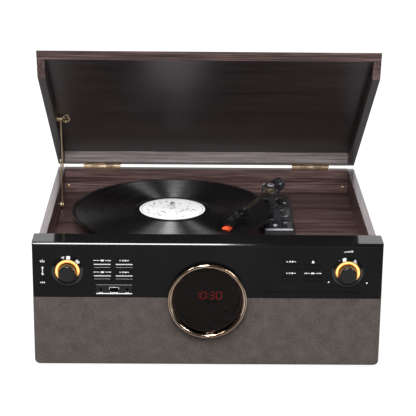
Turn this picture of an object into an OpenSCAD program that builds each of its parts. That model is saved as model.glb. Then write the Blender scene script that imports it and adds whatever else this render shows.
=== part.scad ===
// Stereo music centre: a wooden record player cabinet with a lid on a sliding stay,
// a gloss front moulding with knobs, buttons, sockets and a disc tray, and a cloth grille.
// Millimetres. The front face is at -Y, the hinges are at +Y and the feet stand on Z = 0.
// Inside the modules Y = 0 is the front face; place() then centres the whole part on Y.

/* [Cabinet] */
// Width over the two wooden sides
body_w = 476; // [466:1:520]
// Thickness of the side boards, the rear board and the lid's sides
wall = 11; // [9:0.5:14]
// Thickness of the base board
base_t = 9; // [6:0.5:12]
// Thickness of the deck board
deck_t = 9; // [7:0.5:12]
// Depth of the deck's top below the rim
deck_drop = 38; // [36:0.5:42]
// Height of each foot
foot_h = 5; // [3:0.5:10]
// Radius of each foot
foot_r = 14; // [8:0.5:18]

/* [Front housing] */
// Width of the housing, proud of the wooden sides
house_w = 490; // [486:1:530]
// Depth of the housing and of its top ledge
house_d = 38; // [36:0.5:42]
// Height of the cloth grille below the gloss moulding
grille_h = 103; // [100:0.5:106]
// Height of the gloss moulding, from the grille to the cabinet's rim
panel_h = 81; // [79:0.5:107]
// Wall of the gloss moulding
skin_t = 3; // [2:0.25:4]
// Rounding of the moulding's edges
edge_r = 4; // [2:0.25:6]
// Thickness of the grille cloth with its backing
cloth_t = 1; // [0.6:0.1:1.5]
// Rounding of the lower corners of the grille
grille_r = 7; // [4:0.5:12]
// Thickness of the loudspeaker baffle
baffle_t = 12; // [9:0.5:15]
// Distance of each loudspeaker from the middle
speaker_x = 150; // [130:1:170]
// Radius of the loudspeaker's opening in the baffle
speaker_r = 36.5; // [30:0.5:38]

/* [Lid] */
// Thickness of the lid's top board
lid_t = 9; // [7:0.5:12]
// Height of the lid's sides below the top board
lid_side_h = 18; // [18:0.5:26]
// Overhang of the slanted front edge, from its foot to its tip
lid_lip = 32; // [0:1:36]
// Gap between the closed lid and the rim
lid_gap = 0.5; // [0.3:0.1:1.5]
// Angle at which the lid stands open
lid_open = 36.65; // [30:0.05:40]
// Distance of the hinge axis behind the rear face
hinge_back = 6; // [4.5:0.25:8]
// Distance of each hinge from the middle
hinge_x = 168; // [120:1:190]
// Width of each hinge
hinge_w = 60; // [40:1:70]
// Radius of the hinge knuckles
knuckle_r = 3; // [2.5:0.1:3.6]
// Radius of the hinge pins
pin_r = 1.5; // [1:0.1:2]

/* [Lid stay] */
// Distance of the stay's cabinet pivot in front of the hinge axis
stay_body_fwd = 100; // [94:1:106]
// Depth of the stay's cabinet pivot below the hinge axis
stay_body_down = 33; // [30:0.5:33]
// Distance of the stay's lid pivot in front of the hinge axis
stay_lid_fwd = 172; // [168:1:180]
// Height of the stay's lid pivot above the hinge axis
stay_lid_up = 13; // [10:0.25:13]
// Thickness of each stay bar
bar_t = 1.5; // [1:0.1:1.6]
// Width of each stay bar
bar_w = 7; // [5:0.25:8]
// Length of the lower bar beyond its pivot
bar_low_l = 81; // [70:1:81]
// Length of the upper bar beyond its pivot
bar_up_l = 84; // [76:1:84]
// Radius of the stay's pivot pins
stay_pin_r = 2; // [1.5:0.1:2.4]

/* [Record player] */
// Radius of the record
record_r = 151; // [125:1:151]
// Thickness of the record at its rim and label
record_t = 1.9; // [1.4:0.1:2.4]
// Radius of the record's label
label_r = 50; // [40:1:52]
// Depth of the record's top below the rim
record_drop = 14.8; // [13:0.1:16]
// Gap between the record's edge and the front housing
record_gap = 3.5; // [2:0.25:6]
// Gap between the record's edge and the rear board
rear_gap = 3.5; // [2:0.25:20]
// Gap between the record's edge and the left side board
side_gap = 23.7; // [18:0.1:28]
// Radius of the spindle
spindle_r = 3.57; // [3.5:0.01:3.6]
// Height of the spindle above the record
spindle_up = 11; // [6:0.5:14]
// Radius of the platter
platter_r = 100; // [95:1:104]
// Thickness of the slip mat
mat_t = 1.5; // [1:0.1:3]
// Outer radius of the drive ring under the platter
ring_r = 65; // [55:1:68]
// Radius of the motor pulley's groove
pulley_r = 5; // [4:0.25:6]
// Distance of the motor pulley from the spindle
pulley_dist = 82; // [78:0.5:84]
// Direction of the motor from the spindle, from +X towards +Y
motor_dir = 135; // [100:1:160]

/* [Tonearm] */
// Distance of the arm's pivot right of the record's right edge
arm_right = -0.1; // [-0.6:0.1:5]
// Distance of the arm's pivot behind the spindle
arm_back = 57.5; // [55.5:0.5:63]
// Height of the arm tube's centre line above the record
arm_up = 12.3; // [11.5:0.1:14]
// Distance from the pivot to the stylus tip
arm_len = 176; // [172:0.5:180]
// Direction of the arm from straight forward, turned towards the spindle
arm_turn = 24; // [22:0.5:26]
// Radius of the arm tube
tube_r = 2.6; // [2:0.1:3]
// Radius of the counterweight
weight_r = 10; // [7:0.25:11]
// Length of the counterweight
weight_l = 17; // [12:0.5:20]
// Width of the tonearm's base moulding
arm_base_w = 47; // [46:0.5:50]
// Length of the tonearm's base moulding
arm_base_l = 175; // [172:1:182]
// Height of the tonearm's base moulding
arm_base_t = 7; // [6:0.25:9]

/* [Controls] */
// Distance of each knob from the middle
knob_x = 195.7; // [190:0.5:204]
// Depth of the knobs' centres below the rim
knob_drop = 41.8; // [38:0.2:46]
// Radius of a knob's cap
knob_r = 12.2; // [9:0.1:12.6]
// Distance that a knob stands proud of the front face
knob_proud = 15; // [11:0.5:18]
// Outer radius of the light ring round a knob
light_r = 17.2; // [15:0.1:18]
// Outer radius of the bezel round a light ring
bezel_r = 22.4; // [20:0.1:24]
// Width of a push button
button_w = 24.4; // [18:0.2:26]
// Height of a push button
button_h = 5.8; // [4.5:0.1:7]
// Distance that a button stands proud of the front face
button_proud = 1.2; // [1:0.1:2]
// Travel of a button
button_travel = 0.8; // [0.4:0.1:0.9]
// Distance of the inner columns of buttons from the middle
button_in_x = 116.5; // [112:0.5:118]
// Distance of the outer columns of buttons from the middle
button_out_x = 147; // [145:0.5:149]
// Depth of the upper row of buttons below the rim
button_top_drop = 33.8; // [30:0.2:36]
// Depth of the lower row of buttons below the rim
button_low_drop = 50.9; // [48:0.2:53]

/* [Display] */
// Outer radius of the gold ring
display_r = 55.7; // [52:0.1:58]
// Width of the gold ring's rounded tube
display_tube = 5.3; // [4:0.1:6]
// Distance that the gold ring stands proud of the front face
display_proud = 9; // [6:0.25:11]
// Height of the ring's centre above the cabinet's underside
display_z = 100; // [97:0.5:103]
// Rise of the domed lens
lens_rise = 4; // [2:0.25:5]

/* [Sockets and tray] */
// Distance of the socket bay left of the middle
bay_x = 130.9; // [126:0.5:136]
// Width of the socket bay
bay_w = 50.8; // [48:0.2:54]
// Height of the socket bay
bay_h = 14.6; // [13:0.2:16]
// Height of the socket bay's centre above the grille
bay_up = 11.8; // [11:0.2:14]
// Radius of the 3.5 mm sockets' bores
jack_r = 1.8; // [1.75:0.05:1.9]
// Distance of the disc tray's middle from the right side board
tray_side = 74.7; // [74.5:0.1:78]
// Width of the disc tray's front
tray_w = 140.5; // [136:0.5:144]
// Height of the disc tray's front
tray_h = 8.3; // [7:0.1:9]
// Distance of the disc tray's rear end behind the front face
tray_l = 185; // [184:1:196]

/* [Hidden] */

$fn = 64;
big_fn = 180;    // facets of the record, the platter and the display ring
eps = 0.01;

// Clearances
run_c = 0.05;    // radial clearance of a shaft that turns or slides in a bore
gap = 0.3;       // gap between neighbouring moving and fixed faces

// Levels
rim_z = foot_h + grille_h + panel_h;
deck_z = rim_z - deck_drop;
panel_z = foot_h + grille_h;
inner_w = body_w - 2 * wall;
body_d = house_d + record_gap + 2 * record_r + rear_gap + wall;    // front face to rear face
inner_y = body_d - wall;                         // inner face of the rear board
knob_z = rim_z - knob_drop;
bay_z = panel_z + bay_up;
ring_z = foot_h + display_z;

// Hinge axis and the lid's closed form
hinge_y = body_d + hinge_back;
hinge_z = rim_z + lid_gap / 2;
lid_z = rim_z + lid_gap;
lid_h = lid_side_h + lid_t;
lid_front = 2;            // Y of the foot of the lid's slanted front edge
leaf_t = 1.3;             // thickness of a hinge leaf
leaf_in = 9;              // depth of a hinge leaf over the rear board
knuckles = 5;

// The whole part's extent along Y, with the lid open
rear_y = hinge_y - hinge_back * cos(lid_open) + (lid_gap / 2 + lid_h) * sin(lid_open);
mid_y = (rear_y - knob_proud) / 2;

// Grille and display
frame_t = 25;             // depth of the grille frame behind the cloth
frame_bar = 10;           // width of the grille frame's bars
sleeve_r = display_r - display_tube / 2 - 0.6;   // radius of the display's sleeve
sleeve_t = 2.2;
sleeve_l = 12;
panel_hole_r = sleeve_r + gap;
lens_r = sleeve_r - sleeve_t - gap;
lens_t = 2.5;
board_y = 14;             // Y of the control board's front face
board_t = 1.6;
board_w = 2 * (knob_x + 19.3);
switch_h = 3.3;           // height of the switches behind the buttons
button_stop_y = board_y - switch_h - gap - button_travel;    // end of a button's stem at rest

// Centres of the eight buttons on the front face
button_places = [for (z = [rim_z - button_top_drop, rim_z - button_low_drop],
                      x = [-button_out_x, -button_in_x, button_in_x, button_out_x]) [x, z]];

// Loudspeakers, and the plate of rear terminals
speaker_rim = 6;          // width of the loudspeaker's flange round its opening
speaker_z = foot_h + base_t + speaker_r + speaker_rim + 1;
cone_r = 9;               // radius of the cone's flat middle
cone_d = 16;              // depth of the cone
magnet_r = 27;
magnet_front = 22;        // depths of the magnet's faces behind the flange
magnet_rear = 36;

// Main board, in the left rear corner
main_w = 160;
main_d = 130;
main_side = 17;           // gaps to the side board and to the rear board
main_rear = 27;
main_post = 10;           // height of its posts
chip_w = 30;
chip_t = 3;
fin_y = 90;               // place of the heat sink along the board
fin_t = 2;
fin_h = 24;
fin_pitch = 5;
fins = 6;
can_r = 5;                // capacitors
can_h = 18;
can_pitch = 16;

// Power supply, in the right rear corner
supply_w = 86;
supply_d = 56;
supply_side = 51;         // gaps to the side board and to the rear board
supply_rear = 41;
supply_foot = 3;
core_w = 60;
core_h = 48;
winding_w = 40;
winding_h = 36;
winding_out = 3;          // windings stand out of the core, front and rear
term_x = 107 - inner_w / 2;
term_z = foot_h + 60;
term_w = 116;
term_h = 52;

// Stay
stay_x = -inner_w / 2;    // inner face of the left side board
plate_t = 1.8;            // thickness of the stay brackets' discs
bar_low_x = stay_x + plate_t + gap;
bar_up_x = bar_low_x + bar_t + 1.3;
body_pivot = [hinge_y - stay_body_fwd, hinge_z - stay_body_down];
lid_pivot = [hinge_y - stay_lid_fwd * cos(lid_open) + stay_lid_up * sin(lid_open),
             hinge_z + stay_lid_fwd * sin(lid_open) + stay_lid_up * cos(lid_open)];
stay_lean = atan2(body_pivot[0] - lid_pivot[0], lid_pivot[1] - body_pivot[1]);

// Record player
spindle_x = -inner_w / 2 + side_gap + record_r;
spindle_y = house_d + record_gap + record_r;
record_z = rim_z - record_drop;                  // top of the record
mat_z = record_z - record_t - mat_t;             // underside of the mat
platter_under = 7;                               // platter's skirt above the deck
bearing_z = deck_z + 5;                          // top of the bearing tube
hub_z = bearing_z + gap;
shaft_r = 4;                                     // spindle's radius below the mat
neck_r = spindle_r - 0.22;                       // spindle's radius inside mat and record
hub_r = shaft_r + run_c;                         // platter's bore, turning on the spindle
record_bore_r = spindle_r + 0.08;                // bores of the mat and the record
motor_x = spindle_x + pulley_dist * cos(motor_dir);
motor_y = spindle_y + pulley_dist * sin(motor_dir);
belt_z = deck_z + 9;
belt_h = 5;
belt_t = 0.9;
motor_r = 17.5;
motor_h = 27;
flange_r = 24;                                   // motor's flange under the deck board
flange_t = 2;

// Tonearm
arm_x = spindle_x + record_r + arm_right;
arm_y = spindle_y + arm_back;
arm_z = record_z + arm_up;
arm_base_top = deck_z + arm_base_t;
arm_base_x = arm_x - 14.6;                       // left edge of the base moulding
arm_base_y = arm_y - 109;                        // front edge of the base moulding
post_r = 8;
yoke_z = record_z + 4.1;                         // underside of the yoke's disc
yoke_ear = 9.5;                                  // half the space between the ears
ear_t = 3.5;
lift_r = 30;                                     // radius of the lift platform's arc
lift_dir = 8;                                    // direction of its post, outward of straight ahead
lift_x = arm_x + lift_r * sin(lift_dir);
lift_y = arm_y - lift_r * cos(lift_dir);
lift_top = arm_z - tube_r - 0.5;
rest_dist = 80;                                  // distance of the arm rest from the pivot
lever_x = arm_x + 16.4;
lever_y = arm_y - 34;
lever_z = arm_base_top + 6;
switch_x = arm_x + 25.4;

// Disc tray
tray_x = inner_w / 2 - tray_side;
tray_z = panel_z + 0.7;                          // underside of the tray's front
tray_inset = 4;                                  // tray plate narrower than its front, each side
tray_stop = 12;                                  // room behind the closed tray
mech_l = tray_l + tray_stop + 28 - house_d;      // length of the disc mechanism
mech_h = 29;
disc_y = 72;                                     // centre of the disc in the closed tray
disc_r = 60.5;                                   // recess for a 120 mm disc

// Colours
walnut = "#4a3a37";
walnut_dark = "#33282a";
gloss_black = "#141414";
matt_black = "#232325";
cloth_grey = "#5c5450";
gold = "#c9a66b";
brass = "#a08868";
amber = "#ffb14d";
silver = "#c8c8cc";
green = "#23603a";

// ---------- helpers ----------

module place() {
    translate([0, -mid_y, 0]) children();
}

// Rounded rectangle about the origin, made of squares and circles
module rounded(w, h, r) {
    square([w - 2 * r, h], center = true);
    square([w, h - 2 * r], center = true);
    for (i = [-1, 1], j = [-1, 1])
        translate([i * (w / 2 - r), j * (h / 2 - r)]) circle(r);
}

// Slot about the origin with round ends, longer along X
module slot(l, w) {
    square([l - w, w], center = true);
    for (s = [-1, 1]) translate([s * (l - w) / 2, 0]) circle(w / 2);
}

// Rectangle from the origin with its two lower corners rounded
module round_foot_rect(w, h, r) {
    translate([-w / 2, r]) square([w, h - r]);
    translate([-w / 2 + r, 0]) square([w - 2 * r, r]);
    for (i = [-1, 1]) translate([i * (w / 2 - r), r]) circle(r);
}

// A drawing in X and Z, drawn out from y0 back to y1
module from_front(y0, y1) {
    translate([0, y1, 0]) rotate([90, 0, 0]) linear_extrude(y1 - y0) children();
}

// A drawing in Y and Z, drawn out from x0 to x1
module from_side(x0, x1) {
    translate([x0, 0, 0]) rotate([90, 0, 90]) linear_extrude(x1 - x0) children();
}

// Turns a revolved form so that its own +Z points out of the front at (x, z)
module facing(x, z) {
    translate([x, 0, z]) rotate([90, 0, 0]) children();
}

// Ring about Z between two heights
module tube(ro, ri, z0, z1) {
    difference() {
        translate([0, 0, z0]) cylinder(r = ro, h = z1 - z0);
        translate([0, 0, z0 - 1]) cylinder(r = ri, h = z1 - z0 + 2);
    }
}

// Puts what is drawn on the closed lid where the open lid carries it
module in_lid() {
    translate([0, hinge_y, hinge_z]) rotate([-lid_open, 0, 0])
        translate([0, -hinge_y, -hinge_z]) children();
}

// Tonearm frame: +X runs from the pivot along the tube to the stylus
module in_arm() {
    translate([arm_x, arm_y, 0]) rotate([0, 0, -90 - arm_turn]) children();
}

// ---------- cabinet ----------

module cabinet_sides() {
    color(walnut) place() for (s = [-1, 1])
        translate([s * (body_w - wall) / 2 - wall / 2, house_d, foot_h])
            cube([wall, body_d - house_d, rim_z - foot_h]);
}

module rear_panel() {
    color(walnut) place() difference() {
        translate([-inner_w / 2, body_d - wall, foot_h]) cube([inner_w, wall, rim_z - foot_h]);
        for (s = [-1, 1])
            translate([s * hinge_x - hinge_w / 2 - gap, body_d - leaf_in - gap, rim_z - leaf_t])
                cube([hinge_w + 2 * gap, leaf_in + 1, leaf_t + 1]);
        translate([term_x, body_d - wall / 2, term_z])
            cube([term_w - 12, wall + 2, term_h - 12], center = true);
        for (i = [0 : 7])
            translate([40 + i * 20, body_d - wall / 2, term_z]) rotate([90, 0, 0])
                linear_extrude(wall + 2, center = true) rotate(90) slot(50, 6);
    }
}

module base_board() {
    color(walnut_dark) place() difference() {
        translate([-inner_w / 2, house_d, foot_h]) cube([inner_w, body_d - wall - house_d, base_t]);
        for (s = [-1, 1], i = [0 : 4])
            translate([s * 150, 150 + i * 16, foot_h - 1]) linear_extrude(base_t + 2)
                slot(60, 6);
    }
}

module feet() {
    color(matt_black) place() for (i = [-1, 1], y = [house_d + 30, body_d - wall - 30])
        translate([i * (inner_w / 2 - 30), y, 0]) rotate_extrude()
            polygon([[0, 0], [foot_r - 2, 0], [foot_r - 1, 1], [foot_r, foot_h], [0, foot_h]]);
}

module deck_board() {
    color(walnut) place() difference() {
        translate([-inner_w / 2, house_d, deck_z - deck_t])
            cube([inner_w, body_d - wall - house_d, deck_t]);
        translate([spindle_x, spindle_y, deck_z - deck_t - 1]) cylinder(r = 9.3, h = deck_t + 2);
        translate([motor_x, motor_y, deck_z - deck_t - 1]) cylinder(r = 8, h = deck_t + 2);
        translate([arm_x - 4, arm_y - 52, deck_z - deck_t - 1]) cube([28, 38, deck_t + 2]);
    }
}

module front_baffle() {
    color(walnut_dark) place() difference() {
        from_front(cloth_t + frame_t, cloth_t + frame_t + baffle_t)
            translate([0, foot_h + cloth_t])
                round_foot_rect(house_w - 2 * cloth_t, grille_h - cloth_t, grille_r - cloth_t);
        for (s = [-1, 1]) facing(s * speaker_x, speaker_z)
            translate([0, 0, -house_d - 1]) cylinder(r = speaker_r, h = house_d);
        facing(0, ring_z) translate([0, 0, -house_d - 1]) cylinder(r = 30, h = house_d);
    }
}

// ---------- front housing ----------

// Outline of the gloss moulding in Y and Z, with its rounded top edge
module ledge_profile(inset) {
    r = edge_r - inset / 2;
    h = rim_z - inset;
    difference() {
        translate([inset, panel_z - (inset > 0 ? 1 : 0)])
            square([house_d - 2 * inset, h - panel_z + (inset > 0 ? 1 : 0)]);
        translate([inset - 1, h - r]) square([1 + r, r + 1]);
    }
    translate([inset + r, h - r]) circle(r);
}

// Outline of the gloss moulding in X and Y, with its rounded front corners
module plan_profile(inset) {
    r = edge_r - inset / 2;
    w = house_w - 2 * inset;
    translate([-w / 2, inset + r]) square([w, house_d - 2 * inset - r]);
    translate([-w / 2 + r, inset]) square([w - 2 * r, r]);
    for (s = [-1, 1]) translate([s * (w / 2 - r), inset + r]) circle(r);
}

module panel_body(inset) {
    intersection() {
        from_side(-house_w / 2 - 1, house_w / 2 + 1) ledge_profile(inset);
        translate([0, 0, panel_z - 2]) linear_extrude(panel_h + 4) plan_profile(inset);
    }
}

module front_panel() {
    color(gloss_black) place() difference() {
        union() {
            difference() {
                panel_body(0);
                panel_body(skin_t);
                // the rear wall stops below the deck, so the cabinet's inside reaches the front
                translate([-house_w / 2 + skin_t, house_d - skin_t - 1, panel_z - 1])
                    cube([house_w - 2 * skin_t, skin_t + 2, deck_z - deck_t - panel_z + 1]);
            }
            // screw bosses for the control board
            for (x = [-175, -70, 70, 175])
                facing(x, rim_z - 14) translate([0, 0, -board_y]) cylinder(r = 3.5, h = board_y - 1);
        }
        facing(0, ring_z) translate([0, 0, -house_d / 2]) cylinder(r = panel_hole_r, h = house_d);
        for (s = [-1, 1]) facing(s * knob_x, knob_z)
            translate([0, 0, -skin_t - 1]) cylinder(r = light_r - 1.5, h = skin_t + 2);
        for (b = button_places)
            from_front(-1, skin_t + 1) translate(b)
                rounded(button_w + 2 * gap, button_h + 2 * gap, 1 + gap);
        from_front(-1, skin_t + 1) translate([-bay_x, bay_z]) rounded(bay_w, bay_h, 1.5);
        translate([tray_x - tray_w / 2 - gap, -1, panel_z - 1])
            cube([tray_w + 2 * gap, skin_t + 2, tray_z - panel_z + tray_h + gap + 1]);
    }
}

module grille_frame() {
    w = house_w - 2 * cloth_t;
    h = grille_h - cloth_t;
    color(matt_black) place() from_front(cloth_t, cloth_t + frame_t) difference() {
        union() {
            difference() {
                translate([0, foot_h + cloth_t]) round_foot_rect(w, h, grille_r - cloth_t);
                translate([-w / 2 + frame_bar, foot_h + cloth_t + frame_bar])
                    square([w - 2 * frame_bar, h - 2 * frame_bar]);
            }
            for (s = [-1, 1]) translate([s * 72 - 4, foot_h + cloth_t]) square([8, h]);
            intersection() {
                translate([0, ring_z]) circle(panel_hole_r + 7);
                translate([-w / 2, foot_h + cloth_t]) square([w, h]);
            }
        }
        translate([0, ring_z]) circle(panel_hole_r);
    }
}

module grille_cloth() {
    color(cloth_grey) place() difference() {
        from_front(0, house_d) translate([0, foot_h]) round_foot_rect(house_w, grille_h, grille_r);
        from_front(cloth_t, house_d + 1) translate([0, foot_h + cloth_t])
            round_foot_rect(house_w - 2 * cloth_t, grille_h + 1, grille_r - cloth_t);
        facing(0, ring_z) translate([0, 0, -house_d / 2]) cylinder(r = panel_hole_r, h = house_d);
    }
}

module display_bezel() {
    mid = display_r - display_tube / 2;
    front = display_proud - display_tube / 2;
    color(gold) place() facing(0, ring_z) {
        rotate_extrude($fn = big_fn) {
            translate([mid, front]) circle(display_tube / 2);
            translate([mid - display_tube / 2, 0]) square([display_tube, front]);
            translate([sleeve_r - sleeve_t, -sleeve_l]) square([sleeve_t, sleeve_l + 1]);
            translate([lens_r - 3, -2]) square([sleeve_r - lens_r + 2, 2]);
        }
    }
}

module display_lens() {
    dome_r = (lens_r * lens_r + lens_rise * lens_rise) / (2 * lens_rise);
    top = display_proud - 1.5;
    color(gloss_black) place() facing(0, ring_z) {
        difference() {
            intersection() {
                cylinder(r = lens_r, h = top + 1, $fn = big_fn);
                translate([0, 0, top - dome_r]) sphere(dome_r, $fn = big_fn);
            }
            translate([0, 0, -1]) cylinder(r = lens_r - lens_t, h = top - lens_rise - lens_t + 1);
        }
    }
}

module knob_bezels() {
    color(gloss_black) place() for (s = [-1, 1]) facing(s * knob_x, knob_z)
        rotate_extrude() intersection() {
            translate([(bezel_r + light_r) / 2 + gap / 2, 0]) circle((bezel_r - light_r - gap) / 2 + 1);
            translate([light_r + gap, 0]) square([bezel_r - light_r - gap, 4]);
        }
}

module knob_light_rings() {
    color(amber) place() for (s = [-1, 1]) facing(s * knob_x, knob_z) {
        tube(light_r, knob_r + 0.7, 0, 2);
        tube(light_r - 1.8, knob_r + 0.7, -skin_t - 1, 0);
    }
}

module front_socket_panel() {
    jack_out = bay_w / 2 - 7;
    color(matt_black) place() difference() {
        union() {
            from_front(0.4, 2.4) translate([-bay_x, bay_z])
                rounded(bay_w - 2 * gap, bay_h - 2 * gap, 1.2);
            for (s = [-1, 1]) facing(-bay_x + s * jack_out, bay_z) {
                translate([0, 0, -13]) cylinder(r = 4, h = 12);
                tube(3.6, jack_r, -1, 0.2);
            }
            translate([-bay_x - 9, 2, bay_z - 4.6]) cube([18, 10.5, 9.2]);
        }
        for (s = [-1, 1]) facing(-bay_x + s * jack_out, bay_z)
            translate([0, 0, -12]) cylinder(r = jack_r, h = 14);
        // socket with its tongue left standing
        difference() {
            translate([-bay_x - 6.3, -1, bay_z - 2.6]) cube([12.6, 12, 5.2]);
            translate([-bay_x - 5.4, 1.6, bay_z + 0.2]) cube([10.8, 11, 1.7]);
        }
    }
}

module control_board() {
    low = panel_z + tray_h + 6;
    high = rim_z - 8;
    shaft_bore = 3 + run_c;
    color(green) place() {
        difference() {
            union() {
                from_front(board_y, board_y + board_t) {
                    translate([-board_w / 2, low]) square([board_w, high - low]);
                    translate([-26, ring_z - 8]) square([52, 30]);
                }
                // clock display block, encoder and potentiometer, button switches
                translate([-23, 5, ring_z - 2]) cube([46, board_y - 5 + eps, 17]);
                for (s = [-1, 1]) translate([s * knob_x - 7, board_y - 7, knob_z - 7])
                    cube([14, 7 + eps, 14]);
                for (b = button_places)
                    translate([b[0] - 3, board_y - switch_h, b[1] - 3]) cube([6, switch_h + eps, 6]);
            }
            for (s = [-1, 1]) facing(s * knob_x, knob_z)
                translate([0, 0, -board_y - board_t - 1]) cylinder(r = shaft_bore, h = 12);
        }
    }
}

// ---------- inside ----------

module speakers() {
    color(matt_black) place() for (s = [-1, 1]) facing(s * speaker_x, speaker_z)
        translate([0, 0, -house_d]) rotate_extrude() polygon([
            [0, -cone_d], [cone_r, -cone_d], [speaker_r - 6, -1], [speaker_r - 2, 0],
            [speaker_r + speaker_rim, 0], [speaker_r + speaker_rim, -3], [speaker_r, -3],
            [magnet_r - 3, -magnet_front], [magnet_r, -magnet_front], [magnet_r, -magnet_rear],
            [0, -magnet_rear]]);
}

module main_board() {
    post_in = 6;
    top = main_post + board_t - eps;
    color(green) place()
        translate([main_side - inner_w / 2, inner_y - main_rear - main_d, foot_h + base_t]) {
            for (x = [post_in, main_w - post_in], y = [post_in, main_d - post_in])
                translate([x, y, 0]) cylinder(r = 3, h = main_post + eps);
            translate([0, 0, main_post]) cube([main_w, main_d, board_t]);
            translate([20, 20, top]) cube([chip_w, chip_w, chip_t]);
            // heat sink
            for (i = [0 : fins - 1])
                translate([20 + i * fin_pitch, fin_y, top]) cube([fin_t, chip_w, fin_h]);
            translate([20, fin_y, top]) cube([(fins - 1) * fin_pitch + fin_t, chip_w, chip_t]);
            for (i = [0 : 3])
                translate([main_w / 2 + i * can_pitch, fin_y + 10, top]) cylinder(r = can_r, h = can_h);
            // strip of plug sockets
            translate([75, chip_w, top]) cube([60, 12, 8]);
        }
}

module power_supply() {
    color(silver) place()
        translate([inner_w / 2 - supply_side - supply_w, inner_y - supply_rear - supply_d,
                   foot_h + base_t]) {
            cube([supply_w, supply_d, supply_foot]);
            translate([(supply_w - core_w) / 2, supply_foot, supply_foot - eps])
                cube([core_w, supply_d - 2 * supply_foot, core_h]);
            translate([(supply_w - winding_w) / 2, -winding_out, 9])
                cube([winding_w, supply_d + 2 * winding_out, winding_h]);
        }
}

module cd_mechanism() {
    w = tray_w + 8;
    mech_z = panel_z - 4;
    deck_under = deck_z - deck_t;
    color(matt_black) place() difference() {
        union() {
            translate([tray_x - w / 2, house_d, mech_z]) cube([w, mech_l, mech_h]);
            for (i = [-1, 1], y = [12, mech_l - 12])
                translate([tray_x + i * (w / 2 - 8), house_d + y, mech_z + mech_h - 1])
                    cylinder(r = 5, h = deck_under - mech_z - mech_h + 1);
        }
        translate([tray_x - tray_w / 2 + tray_inset - gap, house_d - 1, tray_z - 0.1])
            cube([tray_w - 2 * tray_inset + 2 * gap, tray_l + tray_stop - house_d + 1, tray_h - 1]);
    }
}

module rear_terminals() {
    color(matt_black) place() difference() {
        union() {
            translate([term_x - term_w / 2, body_d, term_z - term_h / 2]) cube([term_w, 2, term_h]);
            translate([term_x - term_w / 2 + 8, body_d - wall - 4, term_z - term_h / 2 + 8])
                cube([term_w - 16, wall + 5, term_h - 16]);
            for (x = [-10, 12]) facing(term_x + x, term_z)
                translate([0, 0, -body_d - 10]) cylinder(r = 4.15, h = 9);
            facing(term_x + 38, term_z) translate([0, 0, -body_d - 10]) cylinder(r = 4.7, h = 9);
        }
        for (x = [-10, 12]) facing(term_x + x, term_z)
            translate([0, 0, -body_d - 11]) cylinder(r = 1.7, h = 9);
        facing(term_x + 38, term_z) translate([0, 0, -body_d - 11]) cylinder(r = 1.2, h = 9);
        // mains inlet with its two contact pins
        difference() {
            translate([term_x - 36, body_d + 3, term_z]) rotate([90, 0, 0])
                linear_extrude(14) rounded(17, 8.6, 4);
            for (s = [-1, 1]) translate([term_x - 36 + s * 4.3, body_d + 1, term_z])
                rotate([90, 0, 0]) cylinder(r = 1.2, h = 14);
        }
    }
}

// ---------- hinges ----------

// One row of knuckles about the hinge axis: even or odd places along the leaf
module knuckle_row(first) {
    pitch = hinge_w / knuckles;
    for (i = [first : 2 : knuckles - 1])
        translate([-hinge_w / 2 + i * pitch + 0.15, 0, 0]) rotate([0, 90, 0])
            cylinder(r = knuckle_r, h = pitch - 0.3);
}

module hinge_leaf(first, z0) {
    pitch = hinge_w / knuckles;
    y0 = body_d - leaf_in;
    y1 = hinge_y - knuckle_r - 0.4;
    translate([-hinge_w / 2, y0, z0]) cube([hinge_w, y1 - y0, leaf_t]);
    for (i = [first : 2 : knuckles - 1])
        translate([-hinge_w / 2 + i * pitch + 0.15, y1 - 1, z0])
            cube([pitch - 0.3, hinge_y - y1 + 1 - pin_r, leaf_t]);
}

module hinge_bores() {
    translate([-hinge_w / 2 - 1, hinge_y, hinge_z]) rotate([0, 90, 0])
        cylinder(r = pin_r + run_c, h = hinge_w + 2);
}

module hinge_cabinet_leaves() {
    color(brass) place() for (s = [-1, 1]) translate([s * hinge_x, 0, 0]) difference() {
        union() {
            hinge_leaf(0, rim_z - leaf_t);
            translate([0, hinge_y, hinge_z]) knuckle_row(0);
        }
        hinge_bores();
    }
}

module hinge_pins() {
    color(brass) place() for (s = [-1, 1])
        translate([s * hinge_x - hinge_w / 2, hinge_y, hinge_z]) rotate([0, 90, 0])
            cylinder(r = pin_r, h = hinge_w);
}

module hinge_lid_leaves() {
    color(brass) place() in_lid() for (s = [-1, 1]) translate([s * hinge_x, 0, 0]) difference() {
        union() {
            hinge_leaf(1, lid_z);
            translate([0, hinge_y, hinge_z]) knuckle_row(1);
        }
        hinge_bores();
    }
}

// ---------- lid ----------

// Y of the lid's slanted front edge at a height above its foot
function lip_y(h) = lid_front - lid_lip * h / lid_h;

module lid_top_board() {
    color(walnut) place() in_lid() from_side(-body_w / 2, body_w / 2)
        polygon([[body_d, lid_z + lid_side_h], [body_d, lid_z + lid_h],
                 [lip_y(lid_h), lid_z + lid_h], [lip_y(lid_side_h), lid_z + lid_side_h]]);
}

module lid_sides() {
    color(walnut) place() in_lid() for (x = [-body_w / 2, body_w / 2 - wall])
        from_side(x, x + wall)
            polygon([[body_d, lid_z], [body_d, lid_z + lid_side_h],
                     [lip_y(lid_side_h), lid_z + lid_side_h], [lid_front, lid_z]]);
}

module lid_rear_rail() {
    color(walnut) place() in_lid() difference() {
        translate([-inner_w / 2, body_d - wall, lid_z]) cube([inner_w, wall, lid_side_h]);
        for (s = [-1, 1])
            translate([s * hinge_x - hinge_w / 2 - gap, body_d - leaf_in - gap, lid_z - 1])
                cube([hinge_w + 2 * gap, leaf_in + 1, leaf_t + 1]);
    }
}

// ---------- stay ----------

// A flat bar from its eye at the origin up to its round tip
module bar_outline(l) {
    difference() {
        union() {
            circle(bar_w / 2 + 0.6);
            translate([-bar_w / 2, 0]) square([bar_w, l - bar_w / 2]);
            translate([0, l - bar_w / 2]) circle(bar_w / 2);
        }
        circle(stay_pin_r + run_c);
    }
}

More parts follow.
